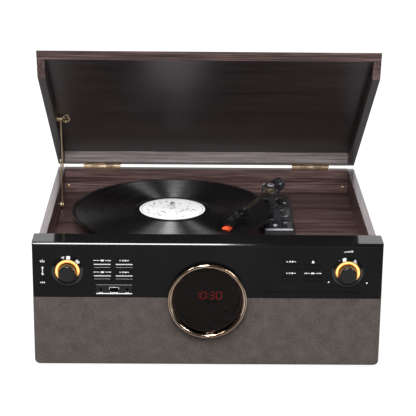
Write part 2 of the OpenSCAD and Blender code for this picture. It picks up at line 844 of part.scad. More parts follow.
module stay_cabinet_bracket() {
    color(brass) place() translate([stay_x, body_pivot[0], body_pivot[1]]) rotate([0, 90, 0]) {
        cylinder(r = 4.6, h = plate_t);
        cylinder(r = stay_pin_r, h = plate_t + gap + bar_t + 0.7);
        translate([0, 0, plate_t + gap + bar_t + 0.3]) cylinder(r = 3.2, h = 0.6);
    }
}

module stay_lid_bracket() {
    up_start = bar_up_x - stay_x;
    color(brass) place() in_lid()
        translate([stay_x, hinge_y - stay_lid_fwd, hinge_z + stay_lid_up]) rotate([0, 90, 0]) {
            cylinder(r = 4.6, h = plate_t);
            cylinder(r = 3, h = up_start - gap);
            cylinder(r = stay_pin_r, h = up_start + bar_t + 0.6);
            translate([0, 0, up_start + bar_t + 0.3]) cylinder(r = 3.2, h = 0.7);
        }
}

module stay_lower_bar() {
    color(brass) place() translate([bar_low_x, body_pivot[0], body_pivot[1]])
        rotate([stay_lean, 0, 0]) from_side(0, bar_t) difference() {
            bar_outline(bar_low_l);
            // long slot for the slider of the upper bar
            translate([0, bar_low_l / 2 + 1]) rotate(90) slot(bar_low_l - 18, 2.4);
        }
}

module stay_upper_bar() {
    color(brass) place() translate([bar_up_x, lid_pivot[0], lid_pivot[1]])
        rotate([stay_lean + 180, 0, 0]) union() {
            from_side(0, bar_t) bar_outline(bar_up_l);
            // rivet head of the slider
            translate([bar_t, 0, bar_up_l - 5]) rotate([0, 90, 0]) cylinder(r = 2.6, h = 0.8);
        }
}

// ---------- turntable ----------

module bearing_housing() {
    under = deck_z - deck_t;
    color(silver) place() translate([spindle_x, spindle_y, 0]) difference() {
        union() {
            translate([0, 0, under - 4]) cylinder(r = 22, h = 4);
            translate([0, 0, under - 4]) cylinder(r = 9, h = bearing_z - under + 4);
        }
        translate([0, 0, under - 5]) cylinder(r = shaft_r, h = bearing_z - under + 6);
    }
}

module spindle() {
    top = record_z + spindle_up;
    foot_z = deck_z - deck_t - 4;
    step_z = record_z + 0.2;
    color(silver) place() translate([spindle_x, spindle_y, 0]) rotate_extrude()
        polygon([[0, foot_z], [shaft_r, foot_z], [shaft_r, mat_z - gap], [neck_r, mat_z - gap],
                 [neck_r, step_z], [spindle_r, step_z], [spindle_r, top - 3],
                 [spindle_r - 0.7, top - 1.2], [spindle_r - 1.8, top - 0.3], [0, top]]);
}

module platter() {
    skirt_z = deck_z + platter_under;
    plate_z = mat_z - 3;
    color(silver) place() translate([spindle_x, spindle_y, 0]) rotate_extrude($fn = big_fn)
        polygon([[hub_r, hub_z], [10, hub_z], [10, plate_z],
                 [ring_r - 4, plate_z], [ring_r - 4, belt_z - 2], [ring_r, belt_z - 2],
                 [ring_r, plate_z], [platter_r - 4, plate_z], [platter_r - 4, skirt_z],
                 [platter_r, skirt_z], [platter_r, mat_z - 1], [platter_r - 1, mat_z],
                 [hub_r, mat_z]]);
}

module slip_mat() {
    color(matt_black) place() translate([spindle_x, spindle_y, 0])
        tube(platter_r - 2, record_bore_r, mat_z, mat_z + mat_t, $fn = big_fn);
}

module record() {
    low = record_z - record_t;
    color("#141416") place() translate([spindle_x, spindle_y, 0]) rotate_extrude($fn = big_fn)
        polygon([[record_bore_r, low], [record_r - 0.6, low], [record_r, low + 0.6],
                 [record_r, record_z - 0.6], [record_r - 0.6, record_z],
                 [record_r - 4, record_z], [record_r - 5.5, record_z - 0.35],
                 [label_r + 8, record_z - 0.35], [label_r + 6.5, record_z - 0.2],
                 [label_r + 0.6, record_z - 0.2], [label_r, record_z],
                 [record_bore_r, record_z]]);
}

module turntable_motor() {
    under = deck_z - deck_t;
    color(silver) place() translate([motor_x, motor_y, 0]) difference() {
        union() {
            translate([0, 0, under - motor_h]) cylinder(r = motor_r, h = motor_h);
            translate([0, 0, under - flange_t]) cylinder(r = flange_r, h = flange_t);
        }
        translate([0, 0, under - 14]) cylinder(r = 1 + run_c, h = 15);
    }
}

module motor_pulley() {
    color(brass) place() translate([motor_x, motor_y, 0]) union() {
        translate([0, 0, deck_z - deck_t - 12]) cylinder(r = 1, h = belt_z - deck_z + deck_t + 12);
        rotate_extrude() polygon([[0, belt_z - 1.4], [pulley_r + 1.3, belt_z - 1.4],
            [pulley_r + 1.3, belt_z - 0.5], [pulley_r, belt_z - 0.3], [pulley_r, belt_z + belt_h],
            [pulley_r - 1, belt_z + belt_h + 1], [0, belt_z + belt_h + 1]]);
    }
}

// Outline of a loop round the drive ring and the pulley, at a distance off both
module belt_outline(off) {
    hull() {
        circle(ring_r + off, $fn = 120);
        translate([pulley_dist, 0]) circle(pulley_r + off, $fn = 32);
    }
}

module drive_belt() {
    color(matt_black) place() translate([spindle_x, spindle_y, belt_z]) rotate([0, 0, motor_dir])
        linear_extrude(belt_h) difference() {
            belt_outline(gap + belt_t);
            belt_outline(gap);
        }
}

// ---------- tonearm ----------

module tonearm_base() {
    rest_turn = 3.4;
    rest_x = arm_x + rest_dist * sin(rest_turn);
    rest_y = arm_y - rest_dist * cos(rest_turn);
    outer = rest_x + tube_r + 0.8;
    color(matt_black) place() difference() {
        union() {
            translate([arm_base_x + arm_base_w / 2, arm_base_y + arm_base_l / 2, deck_z])
                linear_extrude(arm_base_t) rounded(arm_base_w, arm_base_l, 4);
            translate([arm_x, arm_y, deck_z]) cylinder(r = post_r, h = yoke_z - gap - deck_z);
            translate([arm_x, arm_y, deck_z]) cylinder(r = 14, h = arm_base_t + 3);
            // block that guides the lift post and carries the cue lever
            translate([arm_x + 5.4, lift_y - 3.3, deck_z]) linear_extrude(arm_base_t + 9)
                rounded(16, 22, 2);
            // arm rest: a post with its floor under the tube and a wall on the outer side
            translate([rest_x - 4, rest_y - 4, deck_z])
                cube([outer + 3 - rest_x + 4, 8, arm_z - tube_r - 0.6 - deck_z]);
            translate([outer, rest_y - 4, deck_z]) cube([3, 8, arm_z + 2 - deck_z]);
        }
        translate([arm_x, arm_y, deck_z + 6]) cylinder(r = 3 + run_c, h = 40);
        translate([lift_x, lift_y, deck_z - 1]) cylinder(r = 2.5 + run_c, h = 40);
        translate([arm_x + 8, lever_y, lever_z]) rotate([0, 90, 0])
            cylinder(r = 1.5 + run_c, h = 10);
        translate([switch_x, arm_y - 72, deck_z - 1]) linear_extrude(arm_base_t + 2)
            rounded(4.4, 24, 2);
        translate([switch_x, arm_y - 22, deck_z - 1]) linear_extrude(arm_base_t + 2)
            rounded(4.4, 16, 2);
    }
}

module tonearm_yoke() {
    ear_w = 11;
    color(matt_black) place() in_arm() difference() {
        union() {
            translate([0, 0, deck_z + 7]) cylinder(r = 3, h = yoke_z - deck_z - 6);
            translate([0, 0, yoke_z]) cylinder(r = 9, h = 2.5);
            translate([-ear_w / 2, -yoke_ear - ear_t, yoke_z]) cube([ear_w, 2 * (yoke_ear + ear_t), 2.5]);
            for (s = [-1, 1]) translate([0, s * (yoke_ear + ear_t / 2), 0]) {
                translate([-ear_w / 2, -ear_t / 2, yoke_z]) cube([ear_w, ear_t, arm_z - yoke_z]);
                translate([0, ear_t / 2, arm_z]) rotate([90, 0, 0])
                    cylinder(r = ear_w / 2, h = ear_t);
            }
        }
        translate([0, yoke_ear + ear_t + 1, arm_z]) rotate([90, 0, 0])
            cylinder(r = 1 + run_c, h = 2 * (yoke_ear + ear_t) + 2);
    }
}

module tonearm_tube() {
    color(silver) place() in_arm() translate([0, 0, arm_z]) {
        // bearing block with its two trunnions
        translate([-7, -yoke_ear + gap, -4]) cube([14, 2 * (yoke_ear - gap), 9]);
        translate([0, yoke_ear + ear_t - 0.3, 0]) rotate([90, 0, 0])
            cylinder(r = 1, h = 2 * (yoke_ear + ear_t - 0.3));
        translate([6, 0, 0]) rotate([0, 90, 0]) cylinder(r = tube_r, h = arm_len - 70);
        translate([-38, 0, 0]) rotate([0, 90, 0]) cylinder(r = 3, h = 32);
    }
}

module counterweight() {
    color(matt_black) place() in_arm() translate([-20, 0, arm_z]) rotate([0, -90, 0])
        rotate_extrude() polygon([[3, 0], [weight_r - 1, 0], [weight_r, 1],
            [weight_r, weight_l - 1], [weight_r - 1, weight_l], [3, weight_l]]);
}

// Plan of the headshell: narrow at the tube and wide over the cartridge
module headshell_plan(inset) {
    polygon([[arm_len - 72, -5 + inset], [arm_len - 56, -8.5 + inset], [arm_len - 12, -8.5 + inset],
             [arm_len - 4, -5 + inset], [arm_len - 4, 5 - inset], [arm_len - 12, 8.5 - inset],
             [arm_len - 56, 8.5 - inset], [arm_len - 72, 5 - inset]]);
}

module headshell() {
    top = arm_z + 2.2;
    color(matt_black) place() in_arm() difference() {
        union() {
            translate([0, 0, top - 7]) linear_extrude(6) headshell_plan(0);
            translate([0, 0, top - 1.01]) linear_extrude(1.01) headshell_plan(1);
            // cartridge body below
            translate([arm_len - 40, -7, record_z + 2.6]) cube([28, 14, top - 6 - record_z - 2.6]);
            // finger lift on the outer side
            translate([arm_len - 44, 8, top - 4]) cube([5, 11, 1.6]);
            translate([arm_len - 44, 17.4, top - 4]) cube([5, 1.6, 4]);
        }
        translate([arm_len - 74, 0, arm_z]) rotate([0, 90, 0]) cylinder(r = tube_r, h = 10);
    }
}

module stylus() {
    tip_z = record_z + 0.3;
    color("#e0532f") place() in_arm() {
        rotate([90, 0, 0]) linear_extrude(9, center = true)
            polygon([[arm_len - 12, arm_z - 4.9], [arm_len + 3, arm_z - 4.9], [arm_len + 5, arm_z - 6.4],
                     [arm_len + 1, record_z + 2.2], [arm_len - 4, record_z + 1.4],
                     [arm_len - 12, record_z + 2.6]]);
        translate([arm_len, 0, tip_z]) cylinder(r1 = 0.3, r2 = 0.9, h = 2.5, $fn = 24);
    }
}

module cue_lever() {
    color(matt_black) place() translate([0, lever_y, lever_z]) union() {
        translate([arm_x + 8.4, 0, 0]) rotate([0, 90, 0]) cylinder(r = 1.5, h = 6);
        translate([arm_x + 13.7, 0, 0]) rotate([0, 90, 0]) cylinder(r = 4, h = 5);
        translate([lever_x, 0, 0]) rotate([-8, 0, 0]) {
            translate([-1.2, -27, -1.5]) cube([2.4, 27, 3]);
            translate([-2.5, -36, -1.5]) cube([5, 10, 3]);
        }
    }
}

module lift_platform() {
    half = 32;
    color(matt_black) place() {
        translate([lift_x, lift_y, deck_z + 1]) cylinder(r = 2.5, h = lift_top - 2.4 - deck_z);
        translate([arm_x, arm_y, lift_top - 2.4])
            rotate([0, 0, -90 - arm_turn - half])
                rotate_extrude(angle = 2 * half + 3) translate([lift_r - 2, 0]) square([4, 2.4]);
    }
}

module slide_switch(x, y) {
    translate([x - 1.9, y - 3, deck_z + 1]) cube([3.8, 6, arm_base_t]);
    translate([x, y, arm_base_top + gap]) linear_extrude(4) rounded(7, 7, 1.2);
}

module speed_switch() {
    color(silver) place() slide_switch(switch_x, arm_y - 78);
}

module auto_stop_switch() {
    color(silver) place() slide_switch(switch_x, arm_y - 24.5);
}

// ---------- knobs, buttons and tray ----------

// Cap of a knob, with a soft edge at its face and a hollow back
module knob_cap(bore) {
    depth = knob_proud - 1;
    translate([0, 0, 1]) rotate_extrude() difference() {
        union() {
            square([knob_r - 0.4, depth - 2]);
            translate([0, depth - 2]) square([knob_r - 2.4, 2]);
            translate([knob_r - 2.4, depth - 2]) circle(2);
            translate([knob_r - 1.2, 0]) square([1.2, 4]);
        }
        translate([0, -1]) square([bore, depth - 3]);
    }
}

module encoder_plunger() {
    color(silver) place() facing(-knob_x, knob_z)
        translate([0, 0, -board_y + 1]) cylinder(r = 3, h = board_y + knob_proud - 6);
}

module source_knob() {
    color(matt_black) place() facing(-knob_x, knob_z) knob_cap(3 + run_c);
}

module volume_knob() {
    color(matt_black) place() facing(knob_x, knob_z) union() {
        knob_cap(3);
        translate([0, 0, -board_y + 1]) cylinder(r = 3, h = board_y + knob_proud - 5);
    }
}

// A button: cap through the panel, collar behind it and a stem towards its switch
module push_button(i) {
    b = button_places[i];
    color(gloss_black) place() {
        from_front(-button_proud, 7) translate(b) rounded(button_w, button_h, 1);
        from_front(skin_t + gap, skin_t + gap + 1.6) translate(b)
            rounded(button_w + 3, button_h + 2.4, 1);
        facing(b[0], b[1]) translate([0, 0, -button_stop_y]) cylinder(r = 1.5, h = 4);
    }
}

module button_left_outer_top() { push_button(0); }
module button_left_inner_top() { push_button(1); }
module button_right_inner_top() { push_button(2); }
module button_right_outer_top() { push_button(3); }
module button_left_outer_low() { push_button(4); }
module button_left_inner_low() { push_button(5); }
module button_right_inner_low() { push_button(6); }
module button_right_outer_low() { push_button(7); }

module cd_tray() {
    plate_w = tray_w - 2 * tray_inset;
    plate_z = tray_z + 0.5;
    plate_h = tray_h - 3;
    disc_floor = plate_z + plate_h - 2.2;
    color(matt_black) place() difference() {
        union() {
            from_front(-0.6, skin_t) translate([tray_x, tray_z + tray_h / 2])
                rounded(tray_w, tray_h, 0.8);
            translate([tray_x - plate_w / 2, skin_t - eps, plate_z])
                cube([plate_w, tray_l - skin_t, plate_h]);
        }
        translate([tray_x, disc_y, disc_floor]) cylinder(r = disc_r, h = 5, $fn = big_fn);
        translate([tray_x, disc_y, disc_floor - 1.2]) cylinder(r = 41, h = 5, $fn = big_fn);
        translate([tray_x, disc_y, plate_z - 1]) cylinder(r = 18, h = 20);
        translate([tray_x - 14, disc_y, plate_z - 1]) cube([28, disc_r + 12, 20]);
    }
}

cabinet_sides();
rear_panel();
base_board();
deck_board();
front_baffle();
feet();
front_panel();
grille_frame();
grille_cloth();
display_bezel();
display_lens();
knob_bezels();
knob_light_rings();
front_socket_panel();
control_board();
speakers();
main_board();
power_supply();
cd_mechanism();
rear_terminals();
hinge_cabinet_leaves();
hinge_pins();
stay_cabinet_bracket();
bearing_housing();
spindle();
turntable_motor();
drive_belt();
tonearm_base();
lid_top_board();
lid_sides();
lid_rear_rail();
hinge_lid_leaves();
stay_lid_bracket();
stay_lower_bar();
stay_upper_bar();
platter();
slip_mat();
record();
motor_pulley();
tonearm_yoke();
tonearm_tube();
headshell();
stylus();
counterweight();
cue_lever();
lift_platform();
speed_switch();
auto_stop_switch();
encoder_plunger();
source_knob();
volume_knob();
cd_tray();
button_left_outer_top();
button_left_inner_top();
button_left_outer_low();
button_left_inner_low();
button_right_inner_top();
button_right_outer_top();
button_right_inner_low();
button_right_outer_low();
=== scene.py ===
"""Looks of a stereo music centre: a dark wooden record player cabinet with an open lid,
a gloss black front with amber-lit knobs, a gold-ringed clock and a cloth grille."""
import math

import bmesh
import bpy
from mathutils import Matrix, Vector


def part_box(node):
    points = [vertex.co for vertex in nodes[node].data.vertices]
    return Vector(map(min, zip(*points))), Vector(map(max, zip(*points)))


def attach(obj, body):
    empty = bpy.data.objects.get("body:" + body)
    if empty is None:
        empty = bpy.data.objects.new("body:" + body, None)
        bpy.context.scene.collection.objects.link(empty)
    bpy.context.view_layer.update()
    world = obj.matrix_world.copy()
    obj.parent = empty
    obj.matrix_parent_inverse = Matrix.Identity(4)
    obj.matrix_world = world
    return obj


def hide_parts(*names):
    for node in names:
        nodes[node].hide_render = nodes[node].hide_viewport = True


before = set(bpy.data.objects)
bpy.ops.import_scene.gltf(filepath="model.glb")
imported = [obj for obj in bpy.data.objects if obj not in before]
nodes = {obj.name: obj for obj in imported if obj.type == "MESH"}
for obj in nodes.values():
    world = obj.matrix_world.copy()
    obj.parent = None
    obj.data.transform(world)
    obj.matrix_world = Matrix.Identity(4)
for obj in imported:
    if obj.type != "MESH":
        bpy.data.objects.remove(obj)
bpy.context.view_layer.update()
BUTTONS = [name for name in nodes if name.startswith("button_")]

MM = 0.001
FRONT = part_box("front_panel")[0].y       # the front face
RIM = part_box("front_panel")[1].z         # the cabinet's rim
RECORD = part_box("record")
SPINDLE = (RECORD[0] + RECORD[1]) / 2    # its X and Y are the spindle's
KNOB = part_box("source_knob")
KNOB_X = -(KNOB[0].x + KNOB[1].x) / 2
KNOB_Z = (KNOB[0].z + KNOB[1].z) / 2
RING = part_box("display_bezel")
RING_Z = (RING[0].z + RING[1].z) / 2
LID_OPEN = math.radians(36.65)
HINGE = Vector((0, FRONT + 364 * MM, RIM + 0.25 * MM))
# turns a place on the closed lid to where it is on the open one
LID_TURN = Matrix.Translation(HINGE) @ Matrix.Rotation(-LID_OPEN, 4, "X") @ Matrix.Translation(-HINGE)
ARM_TURN = math.radians(-114)            # direction of the tonearm seen from above
ARM_PIVOT = Vector((98.6 * MM, FRONT + 250 * MM, 186.5 * MM))


def at(x, y, z):
    """A point given in millimetres, with Y measured back from the front face."""
    return Vector((x * MM, FRONT + y * MM, z * MM))


def srgb(code):
    """A colour written as a hex code, as linear values."""
    parts = [int(code[i:i + 2], 16) / 255 for i in (1, 3, 5)]
    return tuple(c / 12.92 if c <= 0.04045 else ((c + 0.055) / 1.055) ** 2.4 for c in parts) + (1.0,)


def lighter(code, by):
    """A hex code's colour, scaled up."""
    return tuple(min(1.0, c * by) for c in srgb(code)[:3]) + (1.0,)


# ---------- materials ----------

def feed(tree, socket, value):
    """Links a node's output to a socket, or sets the socket to a plain value."""
    if isinstance(value, bpy.types.NodeSocket):
        tree.links.new(value, socket)
    else:
        socket.default_value = value


def add_node(tree, kind, **inputs):
    """A new shader node. Its inputs are given by name, or by place as _0, _1 and so on."""
    made = tree.nodes.new("ShaderNode" + kind)
    for key, value in inputs.items():
        feed(tree, made.inputs[int(key[1:]) if key[1:].isdigit() else key.replace("_", " ")], value)
    return made


def add_math(tree, operation, *values):
    """The output of a new Math node."""
    made = add_node(tree, "Math", **{"_%d" % place: value for place, value in enumerate(values)})
    made.operation = operation
    return made.outputs[0]


class Finish:
    """A Principled material, with short calls for the nodes that feed it."""

    def __init__(self, name, **sockets):
        self.material = bpy.data.materials.new(name)
        self.material.use_nodes = True
        self.tree = self.material.node_tree
        self.shader = self.tree.nodes["Principled BSDF"]
        for socket, value in sockets.items():
            self.shader.inputs[socket.replace("_", " ")].default_value = value

    def node(self, kind, **inputs):
        return add_node(self.tree, kind, **inputs)

    def position(self):
        """Rest coordinates in metres."""
        return self.node("TexCoord").outputs["Object"]

    def place(self, scale, turn_x=0.0):
        """Rest coordinates, turned about X and then scaled."""
        vector = self.position()
        if turn_x:
            turn = self.node("VectorRotate", Vector=vector, Angle=turn_x)
            turn.rotation_type = "X_AXIS"
            vector = turn.outputs[0]
        return self.node("Mapping", Vector=vector, Scale=scale).outputs[0]

    def noise(self, scale, detail, roughness=0.5, turn_x=0.0):
        """Noise with one scale for all three axes, or with three."""
        scales = scale if isinstance(scale, tuple) else (scale, scale, scale)
        return self.node("TexNoise", Vector=self.place(scales, turn_x), Scale=1.0, Detail=detail,
                         Roughness=roughness).outputs["Fac"]

    def noise_line(self, value, detail):
        """Noise along one number, such as a distance from the spindle."""
        made = self.node("TexNoise", Scale=1.0, Detail=detail)
        made.noise_dimensions = "1D"
        self.tree.links.new(value, made.inputs["W"])
        return made.outputs[0]

    def math(self, operation, *values):
        return add_math(self.tree, operation, *values)

    def weigh(self, *parts):
        """The sum of values, each times its weight."""
        shares = [self.math("MULTIPLY", value, weight) for value, weight in parts]
        total = shares[0]
        for share in shares[1:]:
            total = self.math("ADD", total, share)
        return total

    def span(self, value, low, high, new_low=0.0, new_high=1.0):
        """Maps a range of values onto a new one and clamps it there."""
        return self.node("MapRange", _0=value, _1=low, _2=high, _3=new_low, _4=new_high).outputs[0]

    def ramp(self, value, *stops):
        """Colours along a value, from (place, hex code) stops."""
        made = self.node("ValToRGB", Fac=value)
        band = made.color_ramp
        while len(band.elements) < len(stops):
            band.elements.new(0.5)
        for element, (place, color) in zip(band.elements, stops):
            element.position = place
            element.color = srgb(color)
        return made.outputs[0]

    def mix(self, factor, a, b):
        """A blend of two colours."""
        made = self.node("Mix")
        made.data_type = "RGBA"
        for place, value in ((0, factor), (6, a), (7, b)):
            feed(self.tree, made.inputs[place], value)
        return made.outputs[2]

    def radius(self, centre, flat):
        """Distance in metres from the axis through centre; flat keeps the two axes across it."""
        offset = self.node("VectorMath", _0=self.position(), _1=centre)
        offset.operation = "SUBTRACT"
        flat_part = self.node("VectorMath", _0=offset.outputs[0], _1=flat)
        flat_part.operation = "MULTIPLY"
        length = self.node("VectorMath", _0=flat_part.outputs[0])
        length.operation = "LENGTH"
        return length.outputs["Value"]

    def waves(self, value, pitch):
        """Regular lines across a value, a pitch apart."""
        return self.math("SINE", self.math("MULTIPLY", value, 2 * math.pi / pitch))

    def set(self, socket, value):
        feed(self.tree, self.shader.inputs[socket], value)

    def bump(self, height, distance, strength):
        made = self.node("Bump", Height=height, Distance=distance, Strength=strength)
        self.set("Normal", made.outputs[0])


FLAT_Z = (1, 1, 0)    # seen along Z, for the record
FLAT_Y = (1, 0, 1)    # seen along Y, for the clock's ring


def wood(name, grain, stops, turn_x=0.0, roughness=(0.36, 0.5), coat=0.12):
    """Dark veneer: long streaks, broad bands, lines and fine pores along the grain."""
    f = Finish(name, Coat_Weight=coat, Coat_Roughness=0.26)

    def layer(fineness, detail, rough):
        return f.noise(tuple(s * fineness for s in grain), detail, rough, turn_x)

    streaks = layer(1.0, 4.0, 0.62)
    bands = layer(0.1, 2.0, 0.5)
    lines = layer(2.2, 2.0, 0.5)
    pores = layer(5.0, 2.0, 0.6)
    blend = f.weigh((streaks, 0.4), (bands, 0.2), (lines, 0.4))
    color = f.ramp(f.span(blend, 0.4, 0.6), *stops)
    dark = f.span(pores, 0.54, 0.7, 0.0, 0.6)
    f.set("Base Color", f.mix(dark, color, srgb("#1d1413")))
    f.set("Roughness", f.span(streaks, 0.3, 0.7, *roughness))
    f.bump(f.weigh((streaks, 1.0), (pores, -0.6)), 0.00012, 0.5)
    return f.material


VENEER = ((0.0, "#241817"), (0.3, "#3b2c2a"), (0.5, "#4f3a38"), (0.72, "#624b48"), (1.0, "#79625f"))
# a lighter copy of the veneer for the rear board: painted light
PAINTED_LIGHT_VENEER = ((0.0, "#30211f"), (0.3, "#4d3a38"), (0.5, "#674d4a"), (0.72, "#7c625f"), (1.0, "#957b77"))
# a darker, greyer copy of the veneer for the lid's faces that point down and those that point inward: painted
# shade
PAINTED_SHADE_VENEER = ((0.0, "#2a2324"), (0.5, "#3a3132"), (1.0, "#4c4243"))
# a much lighter copy of the veneer for the lid's rear rail: painted light
PAINTED_LIGHT_RAIL = ((0.0, "#7a6e6e"), (0.5, "#a29595"), (1.0, "#c4b8b8"))
# a lighter, greyer copy of the veneer for the tops of the cabinet's sides: painted sheen, over a real glossier
# coat
PAINTED_SHEEN_RIM = ((0.0, "#4a4142"), (0.5, "#64595b"), (1.0, "#7d7274"))
ALONG_X = (7, 480, 480)
ALONG_Y = (480, 7, 480)


def gloss(name, color, roughness, specular):
    """Moulded gloss plastic with faint flow marks and dulled spots."""
    f = Finish(name, Specular_IOR_Level=specular, IOR=1.5)
    cloudy = f.noise(18, 3.0)
    f.set("Base Color", f.mix(f.span(cloudy, 0.35, 0.65), srgb(color), lighter(color, 1.35)))
    f.set("Roughness", f.span(cloudy, 0.3, 0.7, roughness, roughness + 0.05))
    f.bump(f.noise(9, 1.0), 0.00005, 0.15)
    return f.material


def satin(name, color, roughness=0.42, grain=900, depth=0.00006, specular=0.5):
    """Satin plastic with a fine moulded texture."""
    f = Finish(name, Specular_IOR_Level=specular)
    patches = f.noise(30, 3.0)
    f.set("Base Color", f.mix(f.span(patches, 0.3, 0.7), srgb(color), lighter(color, 1.5)))
    f.set("Roughness", f.span(patches, 0.3, 0.7, roughness - 0.06, roughness + 0.08))
    f.bump(f.noise(grain, 2.0), depth, 0.5)
    return f.material


def metal(name, light, dark, roughness):
    """Metal with a fine directional polish and slight tarnish."""
    f = Finish(name, Metallic=1.0)
    lines = f.noise((40, 40, 900), 3.0)
    stain = f.noise(60, 4.0)
    f.set("Base Color", f.mix(f.span(stain, 0.35, 0.7), srgb(light), srgb(dark)))
    f.set("Roughness", f.span(lines, 0.3, 0.7, roughness * 0.75, roughness * 1.3))
    f.bump(lines, 0.00002, 0.3)
    return f.material


def ring_finish():
    """Pale gold turned in fine parallel lines about the clock's axis, with painted reflections as light and
    dark bands across it.
    """
    f = Finish("gold_ring", Metallic=1.0)
    radius = f.radius(Vector((0, 0, RING_Z)), FLAT_Y)
    outer = RING[1].x
    width = 5.3 * MM
    # light, dark and light again across the ring's width: painted reflections of the lamps and the room
    turned = f.node("ValToRGB", Fac=f.span(radius, outer - width, outer))
    band = turned.color_ramp.elements
    band[0].color = (0, 0, 0, 1)
    band[1].color = (0.8, 0.8, 0.8, 1)
    for place, shade in ((0.34, 0.0), (0.44, 0.9), (0.62, 0.9), (0.7, 0.05), (0.84, 0.05)):
        band.new(place).color = (shade, shade, shade, 1)
    stain = f.noise(60, 4.0)
    gold = f.mix(f.span(stain, 0.35, 0.7), srgb("#fae6d2"), srgb("#e2c0a0"))
    f.set("Base Color", f.mix(turned.outputs[0], gold, srgb("#5e4432")))
    f.set("Roughness", f.span(stain, 0.3, 0.7, 0.09, 0.17))
    f.bump(f.waves(radius, 1.8 * MM), 0.00008, 0.5)
    return f.material


def raw_board(name):
    """Raw fibre board with flecks."""
    f = Finish(name, Roughness=0.85)
    flecks = f.noise(500, 3.0)
    f.set("Base Color", f.ramp(flecks, (0.35, "#2c2220"), (0.55, "#433632"), (0.7, "#5a4a42")))
    f.bump(flecks, 0.0002, 0.4)
    return f.material


def cloth_finish():
    """Plain weave of two tones of thread, mottled, with a soft sheen."""
    f = Finish("grille_cloth", Roughness=0.92, Sheen_Weight=0.25, Sheen_Roughness=0.5,
               Specular_IOR_Level=0.2)
    pitch = 1.1 * MM
    threads = []
    for axis in ("X", "Z"):
        wave = f.node("TexWave", Vector=f.position(), Scale=0.157 / pitch, Distortion=0.6,
                      Detail=1.0, Detail_Scale=4.0)
        wave.bands_direction = axis
        threads.append(wave.outputs["Fac"])
    weave = f.math("MULTIPLY", *threads)
    along = f.noise((300, 300, 900), 3.0, 0.6)
    upward = f.noise((900, 300, 300), 3.0, 0.6)
    mottle = f.noise(55, 5.0, 0.65)
    tone = f.weigh((along, 0.34), (upward, 0.34), (mottle, 0.32))
    color = f.ramp(tone, (0.38, "#443c39"), (0.5, "#564e4a"), (0.62, "#695f59"))
    f.set("Base Color", f.mix(f.span(weave, 0.0, 0.8, 0.3, 0.0), color, srgb("#2c2624")))
    f.bump(f.weigh((weave, 1.0), (tone, 0.8)), 0.0003, 0.5)
    return f.material


def felt_finish():
    """Black felt of the slip mat."""
    f = Finish("felt", Roughness=0.95, Sheen_Weight=0.3, Specular_IOR_Level=0.1)
    fibre = f.noise(900, 4.0, 0.7)
    f.set("Base Color", f.ramp(fibre, (0.35, "#121213"), (0.65, "#26262a")))
    f.bump(fibre, 0.0003, 0.6)
    return f.material


def vinyl_finish():
    """Black vinyl: fine rings, bands of louder music and smooth gaps between the tracks."""
    f = Finish("vinyl", Specular_IOR_Level=1.0, IOR=1.75, Anisotropic=1.0, Anisotropic_Rotation=0.25)
    inner, outer = 58 * MM, 145.7 * MM      # the grooved part
    soft = 0.1 * MM
    track, gap = 12.1 * MM, 0.3 * MM
    radius = f.radius(SPINDLE, FLAT_Z)
    grooved = f.math("MULTIPLY", f.span(radius, inner - soft, inner + soft),
                     f.span(radius, outer + soft, outer - soft))
    tracks = f.noise_line(f.math("MULTIPLY", radius, 55.0), 2.0)
    fine = f.noise_line(f.math("MULTIPLY", radius, 900.0), 3.0)
    loud = f.weigh((tracks, 0.6), (fine, 0.4))
    gaps = f.math("LESS_THAN", f.math("PINGPONG", f.math("SUBTRACT", radius, inner), track), gap)
    play = f.math("MULTIPLY", grooved, f.math("SUBTRACT", 1.0, gaps))
    f.set("Base Color", f.mix(loud, srgb("#060607"), srgb("#0e0e0f")))
    f.set("Roughness", f.span(f.math("MULTIPLY", play, f.math("ADD", loud, 0.6)), 0.0, 0.7, 0.22, 0.5))
    tangent = f.node("Tangent")
    tangent.direction_type = "RADIAL"
    tangent.axis = "Z"
    f.set("Tangent", tangent.outputs[0])
    rings = f.waves(radius, 0.6 * MM)
    f.bump(f.math("MULTIPLY", f.math("ADD", rings, loud), play), 0.00004, 0.35)
    return f.material


def label_finish():
    """White paper label: a thin ring, and small scattered flecks in a middle band."""
    f = Finish("record_label", Roughness=0.62)
    band = 14 * MM, 41 * MM
    ring, ring_width = 46.2 * MM, 0.4 * MM
    radius = f.radius(SPINDLE, FLAT_Z)
    paper = f.noise(45, 4.0)
    base = f.ramp(paper, (0.35, "#fbfaf9"), (0.65, "#ffffff"))
    cells = f.node("TexVoronoi", Vector=f.place((150, 230, 1)), Scale=1.0)
    fleck = f.math("LESS_THAN", cells.outputs["Distance"], 0.27)
    patch = f.math("GREATER_THAN", f.noise((55, 55, 1), 1.0), 0.5)
    inside = f.math("MULTIPLY", f.math("GREATER_THAN", radius, band[0]), f.math("LESS_THAN", radius, band[1]))
    fleck = f.math("MULTIPLY", f.math("MULTIPLY", fleck, patch), inside)
    color = f.mix(fleck, base, srgb("#2c2a2a"))
    edge = f.math("COMPARE", radius, ring, ring_width)
    f.set("Base Color", f.mix(edge, color, srgb("#8f8b88")))
    f.bump(paper, 0.00003, 0.3)
    return f.material


